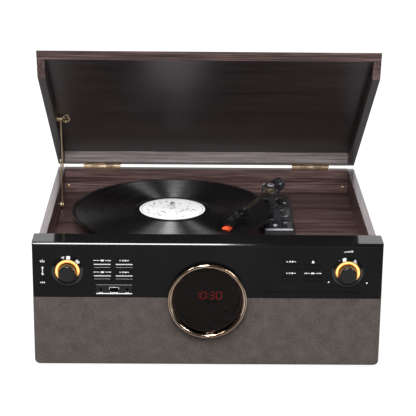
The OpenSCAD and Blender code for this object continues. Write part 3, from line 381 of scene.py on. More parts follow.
def amber_finish():
    """Lit diffuser: pale amber at the knob, deep orange at its outer edge."""
    f = Finish("amber_light", Roughness=0.35)
    inner, outer = 12.5 * MM, 17.4 * MM
    apart = f.node("SeparateXYZ", Vector=f.position()).outputs
    across = f.math("SUBTRACT", f.math("ABSOLUTE", apart[0]), KNOB_X)
    upward = f.math("SUBTRACT", apart[2], KNOB_Z)
    radius = f.math("SQRT", f.math("ADD", f.math("MULTIPLY", across, across),
                                   f.math("MULTIPLY", upward, upward)))
    glow = f.ramp(f.span(radius, inner, outer),
                  (0.0, "#8a3c12"), (0.22, "#e08434"), (0.45, "#ffc66c"), (0.66, "#ffdc96"),
                  (0.84, "#f09c48"), (1.0, "#7a320a"))
    # the lamp stands behind the top, so the ring dims towards its lower ends
    angle = f.math("ARCTAN2", across, upward)
    lit = f.math("MULTIPLY", f.span(angle, math.radians(100), math.radians(132), 1.0, 0.0),
                 f.span(angle, math.radians(-118), math.radians(-86), 0.0, 1.0))
    patches = f.noise(160, 2.0)
    f.set("Base Color", f.mix(lit, srgb("#160a05"), glow))
    f.set("Emission Color", glow)
    f.set("Emission Strength", f.math("MULTIPLY", lit, f.span(patches, 0.3, 0.7, 0.9, 1.2)))
    return f.material


def lens_finish():
    """Smoked polished lens."""
    f = Finish("dark_lens", IOR=1.25, Transmission_Weight=1.0, Roughness=0.02)
    f.set("Base Color", f.ramp(f.noise(40, 2.0), (0.3, "#8a7674"), (0.7, "#94807c")))
    return f.material


def glow_digits():
    """Dim red light of the clock's digits."""
    f = Finish("display_red", Roughness=0.5, Emission_Strength=0.8)
    red = f.ramp(f.noise(500, 1.0), (0.3, "#c01c10"), (0.7, "#d8281a"))
    f.set("Base Color", red)
    f.set("Emission Color", red)
    return f.material


def circuit_finish():
    """Green board with printed tracks."""
    f = Finish("circuit_board", Roughness=0.4)
    tracks = f.node("TexBrick", Vector=f.place((120, 120, 120)), Scale=1.0).outputs["Fac"]
    f.set("Base Color", f.mix(tracks, srgb("#1d5a34"), srgb("#2c7a48")))
    f.bump(tracks, 0.0001, 0.4)
    return f.material


MATERIALS = {
    "walnut": wood("walnut", ALONG_X, VENEER),
    "walnut_wall_painted_light": wood("walnut_wall_painted_light", ALONG_X, PAINTED_LIGHT_VENEER),
    "walnut_sides": wood("walnut_sides", ALONG_Y, VENEER),
    "walnut_lid": wood("walnut_lid", ALONG_X, VENEER, LID_OPEN),
    "walnut_lid_sides": wood("walnut_lid_sides", ALONG_Y, VENEER, LID_OPEN),
    "lid_underside_painted_shade": wood("lid_underside_painted_shade", ALONG_X, PAINTED_SHADE_VENEER, LID_OPEN, (0.3, 0.42)),
    "lid_inner_painted_shade": wood("lid_inner_painted_shade", ALONG_Y, PAINTED_SHADE_VENEER, LID_OPEN, (0.3, 0.42)),
    "lid_rail_painted_light": wood("lid_rail_painted_light", ALONG_X, PAINTED_LIGHT_RAIL, LID_OPEN),
    "rim_top_painted_sheen": wood("rim_top_painted_sheen", ALONG_Y, PAINTED_SHEEN_RIM, roughness=(0.22, 0.34), coat=0.6),
    "inner_board": raw_board("inner_board"),
    "gloss_front": gloss("gloss_front", "#0d0d0e", 0.05, 0.2),
    "gloss_edge": gloss("gloss_edge", "#0c0c0d", 0.05, 1.0),
    "gloss_ledge": gloss("gloss_ledge", "#101011", 0.04, 0.8),
    "gloss_bezel": gloss("gloss_bezel", "#0a0a0b", 0.05, 1.0),
    "knob_gloss": gloss("knob_gloss", "#0a0a0b", 0.22, 0.6),
    "black_plastic": satin("black_plastic", "#161617"),
    "arm_plastic": satin("arm_plastic", "#222225", 0.2, 600, 0.00003, 1.0),
    # light grey for the arm's strips, caps and ring: painted highlights
    "arm_painted_glint": satin("arm_painted_glint", "#8c8c93", 0.25, 600, 0.00003, 0.9),
    "arm_black": satin("arm_black", "#0f0f10", 0.16, 600, 0.00003, 0.9),
    "bay_black": satin("bay_black", "#0d0d0e", 0.3),
    "rubber": satin("foot_rubber", "#1a1a1a", 0.75),
    "cloth": cloth_finish(),
    "gold": ring_finish(),
    "brass": metal("brass", "#efe0cb", "#ccb496", 0.36),
    "stay_brass": metal("stay_brass", "#f0d8b6", "#c9a980", 0.45),
    "bronze": metal("dark_bronze", "#5c4c40", "#3a2f28", 0.4),
    # a duller, greyer brass than the cabinet's leaves, for the lid's leaves
    "leaf": metal("duller_grey_brass", "#cdbfae", "#a39282", 0.5),
    "steel": metal("bright_steel", "#e4e4e8", "#c2c2c8", 0.28),
    "tube": metal("arm_tube", "#c4b7a4", "#948876", 0.3),
    "zinc": metal("zinc_steel", "#b4b6ba", "#8d9094", 0.4),
    "alloy": metal("platter_alloy", "#b8b8bc", "#8f8f94", 0.3),
    "amber": amber_finish(),
    "lens": lens_finish(),
    "digits": glow_digits(),
    "circuit": circuit_finish(),
    "felt": felt_finish(),
    "vinyl": vinyl_finish(),
    "label": label_finish(),
    "orange": satin("stylus_orange", "#d84b28", 0.35),
    "dial": satin("dial_plate", "#060404", 0.3, specular=0.2),
    "white": satin("white_print", "#e9e9ea", 0.5),
    "red_ring": satin("red_ring", "#a82a22", 0.4),
}

LOOKS = {
    "walnut": ["deck_board"],
    "walnut_wall_painted_light": ["rear_panel"],
    "walnut_sides": ["cabinet_sides"],
    "walnut_lid": ["lid_top_board"],
    "lid_rail_painted_light": ["lid_rear_rail"],
    "walnut_lid_sides": ["lid_sides"],
    "inner_board": ["base_board", "front_baffle"],
    "gloss_bezel": ["knob_bezels"],
    "gloss_front": ["front_panel", "cd_tray"] + BUTTONS,
    "knob_gloss": ["source_knob", "volume_knob"],
    "bay_black": ["front_socket_panel"],
    "arm_black": ["headshell"],
    "black_plastic": ["grille_frame", "speakers", "cd_mechanism", "rear_terminals"],
    "arm_plastic": ["tonearm_base", "tonearm_yoke", "counterweight", "cue_lever",
                    "lift_platform"],
    "rubber": ["feet", "drive_belt"],
    "cloth": ["grille_cloth"],
    "gold": ["display_bezel"],
    "brass": ["hinge_cabinet_leaves", "hinge_pins", "motor_pulley"],
    "leaf": ["hinge_lid_leaves"],
    "stay_brass": ["stay_cabinet_bracket", "stay_lid_bracket", "stay_lower_bar", "stay_upper_bar"],
    "steel": ["spindle"],
    "tube": ["tonearm_tube"],
    "zinc": ["bearing_housing", "turntable_motor", "power_supply", "encoder_plunger",
             "speed_switch", "auto_stop_switch"],
    "alloy": ["platter"],
    "amber": ["knob_light_rings"],
    "lens": ["display_lens"],
    "circuit": ["control_board", "main_board"],
    "felt": ["slip_mat"],
    "vinyl": ["record"],
    "orange": ["stylus"],
}


def dress_nodes():
    """Gives each solid its one look."""
    for look, names in LOOKS.items():
        for name in names:
            slots = nodes[name].data.materials
            slots.clear()
            slots.append(MATERIALS[look])


def second_look(name, look, wanted):
    """Gives the faces of a node that pass a test another material."""
    mesh = nodes[name].data
    mesh.materials.append(MATERIALS[look])
    for face in mesh.polygons:
        if wanted(face.normal, face.center):
            face.material_index = len(mesh.materials) - 1


def soften(name, width, segments=2):
    """Rounds a node's sharp edges in the render."""
    nodes[name].modifiers.new("joined_corners", "WELD").merge_threshold = 0.00001
    bevel = nodes[name].modifiers.new("soft_edges", "BEVEL")
    bevel.width = width * MM
    bevel.segments = segments
    bevel.limit_method = "ANGLE"
    bevel.angle_limit = math.radians(50)
    return bevel


# ---------- pieces, with all sizes in millimetres ----------

def linked(name, data):
    """A new object in the scene for a mesh, a lamp or a camera."""
    made = bpy.data.objects.new(name, data)
    bpy.context.scene.collection.objects.link(made)
    return made


def mesh_object(name, mesh):
    """A new object made from a bmesh, which is used up."""
    data = bpy.data.meshes.new(name)
    mesh.to_mesh(data)
    mesh.free()
    return linked(name, data)


def piece(name, mesh, look, body, smooth=False):
    """A new object from a bmesh, dressed and riding on a body."""
    made = mesh_object(name, mesh)
    made.data.materials.append(MATERIALS[look])
    for face in made.data.polygons:
        face.use_smooth = smooth
    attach(made, body)
    return made


def revolve(mesh, profile, frame_matrix, steps=40):
    """Adds a profile of (radius, height) points, turned about the matrix's own Z."""
    turns = [2 * math.pi * i / steps for i in range(steps)]
    rings = []
    for radius, height in profile:
        angles = turns if radius > 0 else [0.0]
        rings.append([mesh.verts.new(frame_matrix @ Vector(
            (radius * MM * math.cos(a), radius * MM * math.sin(a), height * MM))) for a in angles])
    for low, high in zip(rings, rings[1:]):
        for i in range(steps):
            j = (i + 1) % steps
            corners = [low[i % len(low)], low[j % len(low)], high[j % len(high)], high[i % len(high)]]
            unique = list(dict.fromkeys(corners))
            if len(unique) > 2:
                mesh.faces.new(unique)


def slab(mesh, outline, frame_matrix, height):
    """Adds a flat plate: an outline of (x, y) points, raised along the matrix's own Z."""
    low, high = ([mesh.verts.new(frame_matrix @ Vector((x * MM, y * MM, z * MM))) for x, y in outline]
                 for z in (0, height))
    mesh.faces.new(reversed(low))
    mesh.faces.new(high)
    for i in range(len(outline)):
        j = (i + 1) % len(outline)
        mesh.faces.new([low[i], low[j], high[j], high[i]])


def tilted(degrees):
    """A turn about X."""
    return Matrix.Rotation(math.radians(degrees), 4, "X")


def upright(x, y, z):
    """A frame at a point, with Z up."""
    return Matrix.Translation(at(x, y, z))


def facing_front(x, z, y=0.0):
    """A frame whose own Z points out of the front at the viewer, and whose Y points up."""
    return upright(x, y, z) @ tilted(90)


def round_outline(width, height, radius, steps=5):
    """A rectangle with rounded corners."""
    points = []
    for sx, sy, start in ((1, 1, 0), (-1, 1, 90), (-1, -1, 180), (1, -1, 270)):
        for i in range(steps + 1):
            a = math.radians(start + 90 * i / steps)
            points.append((sx * (width / 2 - radius) + radius * math.cos(a),
                           sy * (height / 2 - radius) + radius * math.sin(a)))
    return points


def screw(mesh, matrix, radius):
    """A domed screw head with a cross slot."""
    revolve(mesh, [(radius, 0), (radius * 0.95, radius * 0.25), (radius * 0.6, radius * 0.45),
                   (0, radius * 0.5)], matrix, 20)
    blade = round_outline(radius * 1.3, radius * 0.26, radius * 0.1, 2)
    raised = Matrix.Translation((0, 0, radius * 0.3 * MM))
    for turn in (0, math.pi / 2):
        slab(mesh, blade, matrix @ Matrix.Rotation(turn, 4, "Z") @ raised, radius * 0.16)


# ---------- record ----------

def record_label():
    """The paper label, a little proud of the record."""
    hole, edge = 3.75, 49.4
    profile = [(hole, -0.1), (hole, 0.12), (edge - 0.6, 0.12), (edge, 0.05), (edge, -0.1)]
    mesh = bmesh.new()
    revolve(mesh, profile, Matrix.Translation((SPINDLE.x, SPINDLE.y, RECORD[1].z)), 96)
    made = piece("record_label_paper", mesh, "label", "turntable")


# ---------- front marks and clock ----------

PRINT = 0.08      # thickness of printed marks


def triangle(x, z, size, direction):
    """A small solid arrow head that points right (1), left (-1), up (2) or down (-2)."""
    if abs(direction) == 1:
        return [(x - direction * size / 2, z - size / 2), (x + direction * size / 2, z),
                (x - direction * size / 2, z + size / 2)]
    s = direction / 2
    return [(x - size * 0.6, z - s * size / 2), (x + size * 0.6, z - s * size / 2), (x, z + s * size / 2)]


def bar(x, z, width, height):
    """The outline of a rectangle about its middle."""
    return [(x - width / 2, z - height / 2), (x + width / 2, z - height / 2),
            (x + width / 2, z + height / 2), (x - width / 2, z + height / 2)]


def disc(x, z, radius, steps=16):
    """The outline of a disc."""
    turns = [2 * math.pi * i / steps for i in range(steps)]
    return [(x + radius * math.cos(a), z + radius * math.sin(a)) for a in turns]


def printed(name, shapes, look="white", y=0.0):
    """Flat marks on the front face, or at a depth y behind it."""
    mesh = bmesh.new()
    for outline in shapes:
        slab(mesh, outline, facing_front(0, 0, y), PRINT)
    bmesh.ops.recalc_face_normals(mesh, faces=mesh.faces)
    return piece(name, mesh, look, "root")


def button_signs():
    """Plain signs above the buttons, each a short row of common shapes."""
    rise = {"top": 3.6, "low": 3.4}      # from a button's upper edge to its sign
    shapes = []
    for name in sorted(BUTTONS):
        low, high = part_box(name)
        x = (low.x + high.x) / 2 / MM
        z = high.z / MM + rise[name.split("_")[-1]]
        if name == "button_right_outer_top":
            shapes += [triangle(x, z + 0.4, 3.2, 2), bar(x, z - 1.8, 3.8, 0.6)]
        elif "outer" in name:
            shapes += [triangle(x - 11.4, z, 2.0, -1), triangle(x - 9.2, z, 2.0, -1), bar(x - 5.8, z, 3.2, 0.8),
                       bar(x, z, 4.6, 2.0), bar(x + 5.8, z, 3.2, 0.8),
                       triangle(x + 9.2, z, 2.0, 1), triangle(x + 11.4, z, 2.0, 1)]
        else:
            shapes += [triangle(x - 5.4, z, 2.1, 1), bar(x - 2.6, z, 0.8, 2.1), bar(x - 1.0, z, 0.8, 2.1),
                       bar(x + 2.0, z, 2.4, 2.0), bar(x + 5.4, z, 2.4, 0.8)]
    printed("button_signs", shapes)


def knob_signs():
    """Signs beside the knobs: a push arrow at the left, a rising wedge at the right."""
    left = -230.5
    right = KNOB_X / MM
    # the arrow, a small comb above it and three dots below it
    shapes = [bar(left, 147, 0.9, 9.5), triangle(left, 152.4, 3.2, 2), triangle(left, 141.6, 3.2, -2)]
    shapes += [bar(left, 162.6, 0.8, 3.0), bar(left - 2.6, 161.6, 0.8, 1.6), bar(left + 2.6, 161.6, 0.8, 1.6),
               bar(left, 160.4, 6.0, 0.8)]
    shapes += [bar(left + i * 2.4, 129.6, 1.5, 1.9) for i in (-1, 0, 1)]
    # the wedge above the right knob, and a dot at each end of its travel
    shapes += [bar(right + i * 1.9, 178.0 + 0.16 * i, 0.9, 1.2 + 0.32 * (i + 3)) for i in range(-3, 4)]
    shapes += [disc(right - 26, 132.5, 1.1), disc(right + 27.6, 131.5, 1.1)]
    printed("knob_signs", shapes)


def socket_signs():
    """Dots and bars over and under the three sockets, and a frame round the middle one."""
    low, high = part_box("front_socket_panel")
    x = (low.x + high.x) / 2 / MM
    z = (low.z + high.z) / 2 / MM
    apart = 18.4                         # from the middle socket to its neighbours
    under = z - 5.2
    shapes = [bar(x, z + 3.0, 13.0, 0.6), bar(x - 6.6, z + 1.2, 0.5, 3.6), bar(x + 6.6, z + 1.2, 0.5, 3.6)]
    for side in (x - apart, x + apart):
        shapes += [bar(side + step, under, 1.1, 1.2) for step in (-1.7, 0, 1.7)]
        shapes.append(bar(side, z + 2.9, 2.4, 0.5))
    shapes += [bar(x, under + 0.2, 8.5, 0.7), disc(x - 5.2, under + 0.2, 0.8),
               triangle(x + 5.2, under + 0.2, 1.8, 1)]
    printed("socket_signs", shapes, "white", 0.4)


def polished_lip(mesh, x, y, z, width, height, tilt):
    """Adds a narrow polished chamfer: it faces up and forward at a tilt of 45, down and forward at 135."""
    slab(mesh, round_outline(width, height, 0.3, 2), upright(x, y, z) @ tilted(tilt), 0.2)


def bay_lips():
    """Polished upper and lower lips of the socket bay."""
    low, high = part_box("front_socket_panel")
    centre = (low.x + high.x) / 2 / MM
    width = 50.2
    mesh = bmesh.new()
    polished_lip(mesh, centre, 0.25, low.z / MM + 0.7, width, 1.7, 45)
    polished_lip(mesh, centre, 0.3, high.z / MM - 0.5, width, 1.2, 135)
    made = piece("bay_lips", mesh, "gloss_edge", "root")


def button_lips():
    """Polished chamfers along the upper and lower edges of each button."""
    for name in BUTTONS:
        low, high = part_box(name)
        centre = (low.x + high.x) / 2 / MM
        depth = (low.y - FRONT) / MM + 0.1
        front = [v.co for v in nodes[name].data.vertices if v.co.y < low.y + 0.1 * MM]
        across, upward = ([corner[axis] / MM for corner in front] for axis in (0, 2))
        width = max(across) - min(across) - 0.8
        mesh = bmesh.new()
        polished_lip(mesh, centre, depth, max(upward) - 0.5, width, 1.4, 45)
        polished_lip(mesh, centre, depth, min(upward) + 0.5, width, 1.2, 135)
        made = piece("lips_" + name, mesh, "gloss_edge", name)


def knob_cones():
    """Polished cones round the light rings."""
    profile = [(17.6, 0), (17.6, 3.3), (17.75, 3.6), (18.1, 3.75), (18.45, 3.6), (18.7, 3.42), (22.0, 0.95),
               (22.25, 0.7), (22.4, 0.4), (22.4, 0)]
    mesh = bmesh.new()
    for side in (-1, 1):
        revolve(mesh, profile, facing_front(side * KNOB_X / MM, KNOB_Z / MM), 96)
    bmesh.ops.recalc_face_normals(mesh, faces=mesh.faces)
    made = piece("knob_cones", mesh, "gloss_edge", "root", smooth=True)
    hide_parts("knob_bezels")


SEGMENTS = {"0": "abcdef", "1": "bc", "3": "abcdg"}


def digit(value, x, z, width, height):
    """Seven-segment bars of one digit, slightly slanted."""
    stroke, slant = 1.1, 0.08
    places = {"a": (0, height / 2, True), "g": (0, 0, True), "d": (0, -height / 2, True),
              "f": (-width / 2, height / 4, False), "b": (width / 2, height / 4, False),
              "e": (-width / 2, -height / 4, False), "c": (width / 2, -height / 4, False)}
    shapes = []
    for name in SEGMENTS[value]:
        dx, dz, flat = places[name]
        size = (width * 0.78, stroke) if flat else (stroke, height * 0.42)
        shapes.append([(px + (pz - z) * slant, pz) for px, pz in bar(x + dx, z + dz, *size)])
    return shapes


def clock():
    """Dial plate behind the lens, with dim red digits and the lower edge of its window."""
    radius = 46.4
    centre = RING_Z / MM
    mesh = bmesh.new()
    revolve(mesh, [(0, 0), (radius, 0), (radius, 0.6), (0, 0.6)], facing_front(0, centre, 1.0), 72)
    plate = piece("dial_plate", mesh, "dial", "root")
    z = centre + 6.8
    shapes = []
    for value, x in zip("1030", (-15.8, -5.7, 6.1, 16.2)):
        shapes += digit(value, x, z, 6.6, 10.4)
    shapes += [disc(0.3, z + 2.2, 0.75, 10), disc(0.1, z - 2.2, 0.75, 10)]
    digits = printed("clock_digits", shapes, "digits", 0.3)
    window = printed("clock_window_edge", [bar(0, centre - 12.5, 73, 0.5)], "bronze", 0.3)


# ---------- grille cloth ----------

def grille_cloth():
    """One stretched sheet: the front face with a rounded turn onto the sides and the underside."""
    low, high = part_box("grille_cloth")
    turn = 2.2 * MM                      # radius of the turn round the frame's edge
    corner = 7 * MM
    hole = 52.6 * MM
    inset = 0.5 * MM                     # the sheet's middle lies half its thickness inside
    left, right = low.x + inset, high.x - inset
    bottom, top = low.z + inset, high.z - 0.3 * MM
    back = high.y - inset
    face_y = low.y + inset

    def row(depth, by):
        """The sheet's outline at a depth, drawn in by a distance; its two ends stay at the top."""
        points = [(left + by, top)]
        for cx, start in ((left + corner, 180), (right - corner, 270)):
            for i in range(9):
                a = math.radians(start + 90 * i / 8)
                points.append((cx + (corner - by) * math.cos(a), bottom + corner + (corner - by) * math.sin(a)))
        points.append((right - by, top))
        return [mesh.verts.new((x, depth, z)) for x, z in points]

    mesh = bmesh.new()
    rows = [row(back, 0.0)]
    steps = 5
    for i in range(steps + 1):
        a = math.radians(90 * i / steps)
        rows.append(row(face_y + turn * (1 - math.sin(a)), turn * (1 - math.cos(a))))
    for first, second in zip(rows, rows[1:]):
        for i in range(len(first) - 1):
            mesh.faces.new([first[i], first[i + 1], second[i + 1], second[i]])
    # the front face runs from its edge in to the clock's hole
    dip = math.asin((top - RING_Z) / hole)
    count = 49
    arc = []
    for i in range(count):
        a = math.pi - dip + (math.pi + 2 * dip) * i / (count - 1)
        arc.append(mesh.verts.new((hole * math.cos(a), face_y, RING_Z + hole * math.sin(a))))
    face = mesh.faces.new(rows[-1] + arc[::-1])
    face.normal_update()
    bmesh.ops.triangulate(mesh, faces=[face])
    bmesh.ops.recalc_face_normals(mesh, faces=mesh.faces)
    made = piece("grille_cloth_sheet", mesh, "cloth", "root")
    thick = made.modifiers.new("cloth_thickness", "SOLIDIFY")
    thick.thickness = 0.8 * MM
    thick.offset = 0.0
    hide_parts("grille_cloth")


# ---------- fittings ----------

def wall_screws():
    """Two brass screws low on the inner face of the rear board."""
    back = (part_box("rear_panel")[0].y - FRONT) / MM
    mesh = bmesh.new()
    for x in (-221.0, 220.0):
        screw(mesh, facing_front(x, 160.0, back), 2.6)
    made = piece("wall_screws", mesh, "stay_brass", "root")


def hinge_screws():
    """Three small screws in each hinge leaf, on the rear board and on the lid's rail."""
    hinge_x, pitch = 168, 22
    line = (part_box("hinge_cabinet_leaves")[0].y - FRONT) / MM + 4.2
    rim = RIM / MM
    sunk = 0.65                          # the heads are countersunk, so that the lid closes
    for name, body, turn, z, flip in (
            ("hinge_screws_cabinet", "root", Matrix.Identity(4), rim - sunk, 0),
            ("hinge_screws_lid", "lid", LID_TURN, rim + 0.5 + sunk, 180)):
        mesh = bmesh.new()
        for hinge in (-hinge_x, hinge_x):
            for step in (-pitch, 0, pitch):
                screw(mesh, turn @ upright(hinge + step, line, z) @ tilted(flip), 1.6)
        made = piece(name, mesh, "brass", body)


def stay_rivets():
    """Sunk screw heads on the two brackets of the stay."""
    sunk = 0.95 * MM
    for name, node, body in (("stay_screw_cabinet", "stay_cabinet_bracket", "root"),
                             ("stay_screw_lid", "stay_lid_bracket", "lid")):
        low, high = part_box(node)
        place = Matrix.Translation((high.x - sunk, (low.y + high.y) / 2, (low.z + high.z) / 2))
        mesh = bmesh.new()
        screw(mesh, place @ Matrix.Rotation(math.pi / 2, 4, "Y"), 2.2)
        made = piece(name, mesh, "brass", body)


def stay_plate():
    """Round plate on a short foot that holds the stay to the lid's underside."""
    x = -213.5
    ceiling = RIM / MM + 18.5
    face = LID_TURN @ facing_front(x, ceiling - 5.6, 192)
    foot = LID_TURN @ upright(x, 195, ceiling - 1.0)
    mesh = bmesh.new()
    revolve(mesh, [(0, 0), (5.8, 0), (5.8, 1.0), (5.4, 1.2), (0, 1.2)], face, 40)
    slab(mesh, round_outline(12, 8, 1.5, 4), foot, 1.0)
    made = piece("stay_plate", mesh, "bronze", "lid")
    mesh = bmesh.new()
    revolve(mesh, [(5.0, 1.1), (5.0, 1.6), (5.8, 1.6), (5.9, 1.0)], face, 40)
    for dx, dy in ((-2.6, 1.6), (2.6, 1.6), (0, -2.8)):
        screw(mesh, face @ Matrix.Translation((dx * MM, dy * MM, 1.2 * MM)), 1.1)
    made = piece("stay_plate_trim", mesh, "stay_brass", "lid")


# ---------- tonearm ----------

def arm_frame(along, across=0.0, up=0.0):
    """A frame on the tonearm: X along the tube towards the stylus, Z up."""
    return (Matrix.Translation(ARM_PIVOT) @ Matrix.Rotation(ARM_TURN, 4, "Z")
            @ Matrix.Translation((along * MM, across * MM, up * MM)))


def arm_trim():
    """Screws and ribs of the headshell, its clamp, and rings of the counterweight."""
    mesh = bmesh.new()
    for along in (128, 146):
        for across in (-4.2, 4.2):
            screw(mesh, arm_frame(along, across, 2.2), 1.5)
    made = piece("headshell_screws", mesh, "steel", "arm")
    mesh = bmesh.new()
    for along in (136, 139.5, 156, 159, 162):
        slab(mesh, round_outline(1.3, 9, 0.5, 3), arm_frame(along, 0, 2.1), 0.9)
    clamp = arm_frame(100) @ Matrix.Rotation(math.pi / 2, 4, "Y")
    revolve(mesh, [(2.7, 0), (4.3, 0.4), (4.6, 1.2), (4.6, 6), (4.2, 7), (2.7, 7.2)], clamp, 28)
    made = piece("headshell_trim", mesh, "arm_plastic", "arm")
    mesh = bmesh.new()
    behind = arm_frame(-20.2) @ Matrix.Rotation(-math.pi / 2, 4, "Y")
    inner, outer = 9.9, 10.35
    for i in range(5):
        start = 2.4 + 2.8 * i
        revolve(mesh, [(inner, start), (outer, start + 0.4), (outer, start + 1.2), (inner, start + 1.6)],
                behind, 40)
    made = piece("counterweight_rings", mesh, "arm_plastic", "arm")


def pivot_bridge():
    """Bridge over the arm's pivot, with a bearing ring, a screw and a tab in light grey: painted highlights."""
    bottom, thickness = 6.2, 1.6         # it clears the tube when the arm is raised
    top = bottom + thickness - 0.1
    mesh = bmesh.new()
    slab(mesh, round_outline(13, 27, 4, 6), arm_frame(0, 0, bottom), thickness)
    made = piece("pivot_bridge", mesh, "arm_plastic", "arm_pivot")
    mesh = bmesh.new()
    revolve(mesh, [(3.4, 0), (5.6, 0), (5.6, 1.2), (5.0, 1.7), (3.4, 1.7)], arm_frame(0, 0, top), 36)
    screw(mesh, arm_frame(0, 0, top), 1.8)
    slab(mesh, round_outline(9, 3, 1, 3), arm_frame(0.5, -11.4, top), 1.0)
    made = piece("pivot_ring_painted_glint", mesh, "arm_painted_glint", "arm_pivot")


def arm_base_trim():
    """Dials, bosses, ribs and screws on the tonearm's base plate, and light grey strips and caps on it that are
    painted highlights.
    """
    top = 158.0
    mesh = bmesh.new()
    for x, y, r, h in ((107.5, 280, 6.5, 4.0), (121.5, 262, 4.6, 3.2), (96, 262, 4.2, 2.6),
                       (101.5, 152, 5.4, 5.2), (91.5, 208, 4.6, 3.4)):
        revolve(mesh, [(r, 0), (r, h - 0.8), (r - 0.8, h), (0, h)], upright(x, y, top), 30)
        revolve(mesh, [(r - 2, h - 0.1), (r - 2.4, h + 0.6), (0, h + 0.6)], upright(x, y, top), 30)
    for i in range(5):
        slab(mesh, round_outline(13, 1.6, 0.7, 3), upright(119.5, 270 + i * 5, top), 1.4)
    slab(mesh, round_outline(11, 60, 2.5, 4), upright(92.5, 176, top), 1.2)
    made = piece("arm_base_bosses", mesh, "arm_plastic", "root")
    # light grey front strip, dial caps and thin ribs: painted highlights on the black plastic
    mesh = bmesh.new()
    slab(mesh, round_outline(41, 5.6, 1.0, 3), upright(107.5, 145.2, top - 0.4) @ tilted(28), 0.8)
    for x, y, r, h in ((107.5, 280, 4.2, 4.6), (121.5, 262, 2.4, 3.8), (101.5, 152, 3.2, 5.8),
                       (91.5, 208, 2.4, 4.0)):
        revolve(mesh, [(r, h - 0.2), (r - 0.3, h + 0.5), (0, h + 0.5)], upright(x, y, top), 24)
    for x, y, width in ((96, 312, 12), (97, 236, 9), (98, 190, 7), (118, 206, 9), (119, 176, 7), (114, 226, 6)):
        slab(mesh, round_outline(width, 1.6, 0.5, 2), upright(x, y, top + 0.9) @ tilted(40), 0.5)
    made = piece("arm_base_painted_glints", mesh, "arm_painted_glint", "root")
    mesh = bmesh.new()
    for x, y in ((127.4, 245), (88, 311), (127.2, 311), (127.2, 146)):
        screw(mesh, upright(x, y, top), 1.5)
    made = piece("arm_base_screws", mesh, "steel", "root")


# ---------- rear and underside ----------

def rear_trim():
    """Coloured collars of the line sockets, and the screws of the rear plate and of the base board."""
    low, high = (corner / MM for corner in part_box("rear_terminals"))
    z = (low.z + high.z) / 2
    face = 360                           # the plate's outer face, behind the front face
    collar = [(4.3, 0), (4.3, 1.6), (6.2, 1.6), (6.6, 1.1), (6.6, 0)]
    for name, x, look in (("socket_collar_left", -130, "white"), ("socket_collar_right", -108, "red_ring")):
        mesh = bmesh.new()
        revolve(mesh, collar, upright(x, face, z) @ tilted(-90), 36)
        made = piece(name, mesh, look, "root")
    mesh = bmesh.new()
    for x in (low.x + 4, high.x - 4):
        for dz in (-22, 22):
            screw(mesh, upright(x, face, z + dz) @ tilted(-90), 1.8)
    made = piece("rear_plate_screws", mesh, "zinc", "root")
    mesh = bmesh.new()
    for x in (-222, -111, 111, 222):
        for y in (70, 335):
            screw(mesh, upright(x, y, 5) @ tilted(180), 2.2)
    made = piece("base_screws", mesh, "zinc", "root")


# ---------- stage ----------

def surround_world():
    """White to the camera, in gloss and through glass, and a plain soft light on the object."""
    plain_light = 0.75
    world = bpy.data.worlds.new("surround")
    bpy.context.scene.world = world
    world.use_nodes = True
    tree = world.node_tree
    tree.nodes.clear()
    rays = add_node(tree, "LightPath").outputs
    seen = add_math(tree, "MAXIMUM", rays["Is Camera Ray"], rays["Is Glossy Ray"])
    seen = add_math(tree, "MAXIMUM", seen, rays["Is Transmission Ray"])
    # in gloss, the room in front of the object is dark and the sheet behind it is white
    direction = add_node(tree, "SeparateXYZ", _0=add_node(tree, "TexCoord").outputs["Generated"])
    room = add_node(tree, "MapRange", Value=direction.outputs["Y"], From_Min=0.6, From_Max=0.93,
                    To_Min=0.03, To_Max=1.0)
    shown = add_node(tree, "Mix", _0=rays["Is Glossy Ray"], _2=1.0, _3=room.outputs[0])
    strength = add_node(tree, "Mix", _0=seen, _2=plain_light, _3=shown.outputs[0])
    background = add_node(tree, "Background", Color=(1, 1, 1, 1), Strength=strength.outputs[0])
    add_node(tree, "OutputWorld", _0=background.outputs[0])


def floor():
    """White to the camera and through glass, dim in gloss, and dark as a surface that sends light back."""
    white, gloss_share, grey = 0.95, 0.16, 0.16
    mesh = bmesh.new()
    slab(mesh, round_outline(14000, 14000, 500, 2), Matrix.Translation((0, 3, -2 * MM)), 2)
    ground = mesh_object("floor", mesh)
    material = bpy.data.materials.new("floor_white")
    material.use_nodes = True
    tree = material.node_tree
    tree.nodes.clear()
    rays = add_node(tree, "LightPath").outputs
    lit = add_math(tree, "MAXIMUM", rays["Is Camera Ray"], rays["Is Transmission Ray"])
    lit = add_math(tree, "MULTIPLY_ADD", rays["Is Glossy Ray"], gloss_share, lit)
    strength = add_node(tree, "MapRange", Value=lit, To_Max=white)
    glow = add_node(tree, "Emission", Strength=strength.outputs[0])
    matt = add_node(tree, "BsdfDiffuse", Color=(grey, grey, grey, 1))
    both = add_node(tree, "AddShader", _0=glow.outputs[0], _1=matt.outputs[0])
    add_node(tree, "OutputMaterial", _0=both.outputs[0])
    ground.data.materials.append(material)


def soft_light(name, place, aim, width, height, power):
    """A rectangular lamp; sizes are in metres here."""
    data = bpy.data.lights.new(name, "AREA")
    data.shape = "RECTANGLE"
    data.size = width
    data.size_y = height
    data.energy = power
    lamp = linked(name, data)
    lamp.location = place
    lamp.rotation_mode = "QUATERNION"
    lamp.rotation_quaternion = (Vector(aim) - Vector(place)).to_track_quat("-Z", "Y")
    return lamp


def lamps():
    """A tall lamp in front for the long glints, two small ones beside it, and one overhead for the tops."""
    soft_light("front_soft", (-0.18, -1.1, 1.6), (-0.18, -0.18, 0.19), 0.5, 1.4, 34)
    soft_light("front_right", (1.25, -1.15, 1.05), (0.0, -0.18, 0.15), 0.55, 0.6, 10)
    soft_light("top_left", (-0.75, -0.75, 1.25), (-0.16, 0.0, 0.15), 0.3, 0.3, 3)
    overhead = soft_light("top_soft", (0.0, 0.5, 2.2), (0.0, 0.0, 0.12), 1.6, 0.8, 22)
    overhead.visible_glossy = False


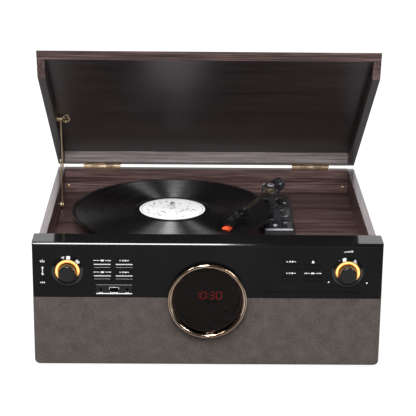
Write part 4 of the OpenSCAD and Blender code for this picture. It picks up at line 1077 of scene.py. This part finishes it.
def camera():
    """The photograph's view: its focal length, place and three angles."""
    focal_px = 1514.88
    frame_px = 416
    data = bpy.data.cameras.new("camera")
    data.sensor_width = 36
    data.lens = focal_px / frame_px * data.sensor_width
    data.clip_end = 60
    view = linked("camera", data)
    bpy.context.scene.camera = view
    pitch, yaw, roll = (math.radians(a) for a in (18.68, 0.60, 0.56))
    look = Vector((math.sin(yaw) * math.cos(pitch), math.cos(yaw) * math.cos(pitch), -math.sin(pitch)))
    level = Vector((math.cos(yaw), -math.sin(yaw), 0))
    up = level.cross(look)
    side = level * math.cos(roll) + up * math.sin(roll)
    top = up * math.cos(roll) - level * math.sin(roll)
    turned = Matrix((side, top, -look)).transposed().to_4x4()
    view.matrix_world = Matrix.Translation(at(-21.11, -1975.63, 909.07)) @ turned


# ---------- the scene ----------

dress_nodes()
second_look("front_panel", "gloss_ledge", lambda normal, centre: normal.z > 0.97)
second_look("front_panel", "gloss_edge",
            lambda normal, centre: 0.05 < normal.z < 0.97 and normal.y < -0.05 and centre.z > RIM - 6 * MM)
# the lid's downward and inward faces get the darker veneer: painted shade
second_look("lid_top_board", "lid_underside_painted_shade", lambda normal, centre: normal.z < -0.5)
second_look("lid_sides", "lid_inner_painted_shade",
            lambda normal, centre: normal.x * centre.x < -0.1 or (normal.z < -0.7 and normal.y < -0.5))
# the tops of the sides get the paler veneer: painted sheen
second_look("cabinet_sides", "rim_top_painted_sheen", lambda normal, centre: normal.z > 0.9)
second_look("control_board", "dial", lambda normal, centre: abs(centre.x) < 0.026 and centre.z < 0.128)
for name in ("source_knob", "volume_knob"):
    soften(name, 0.7)
for name in BUTTONS:
    nodes[name].data.materials.append(MATERIALS["gloss_edge"])    # for the rounded edges alone
    soften(name, 0.9, 1).material = 1
for name, width in (("lid_top_board", 0.8), ("lid_sides", 0.6), ("cabinet_sides", 0.8),
                    ("headshell", 0.5), ("tonearm_base", 0.7)):
    soften(name, width)

record_label()
button_signs()
knob_signs()
socket_signs()
bay_lips()
button_lips()
knob_cones()
clock()
grille_cloth()
wall_screws()
hinge_screws()
stay_rivets()
stay_plate()
arm_trim()
pivot_bridge()
arm_base_trim()
rear_trim()

surround_world()
floor()
lamps()
camera()

scene = bpy.context.scene
scene.view_settings.view_transform = "Standard"
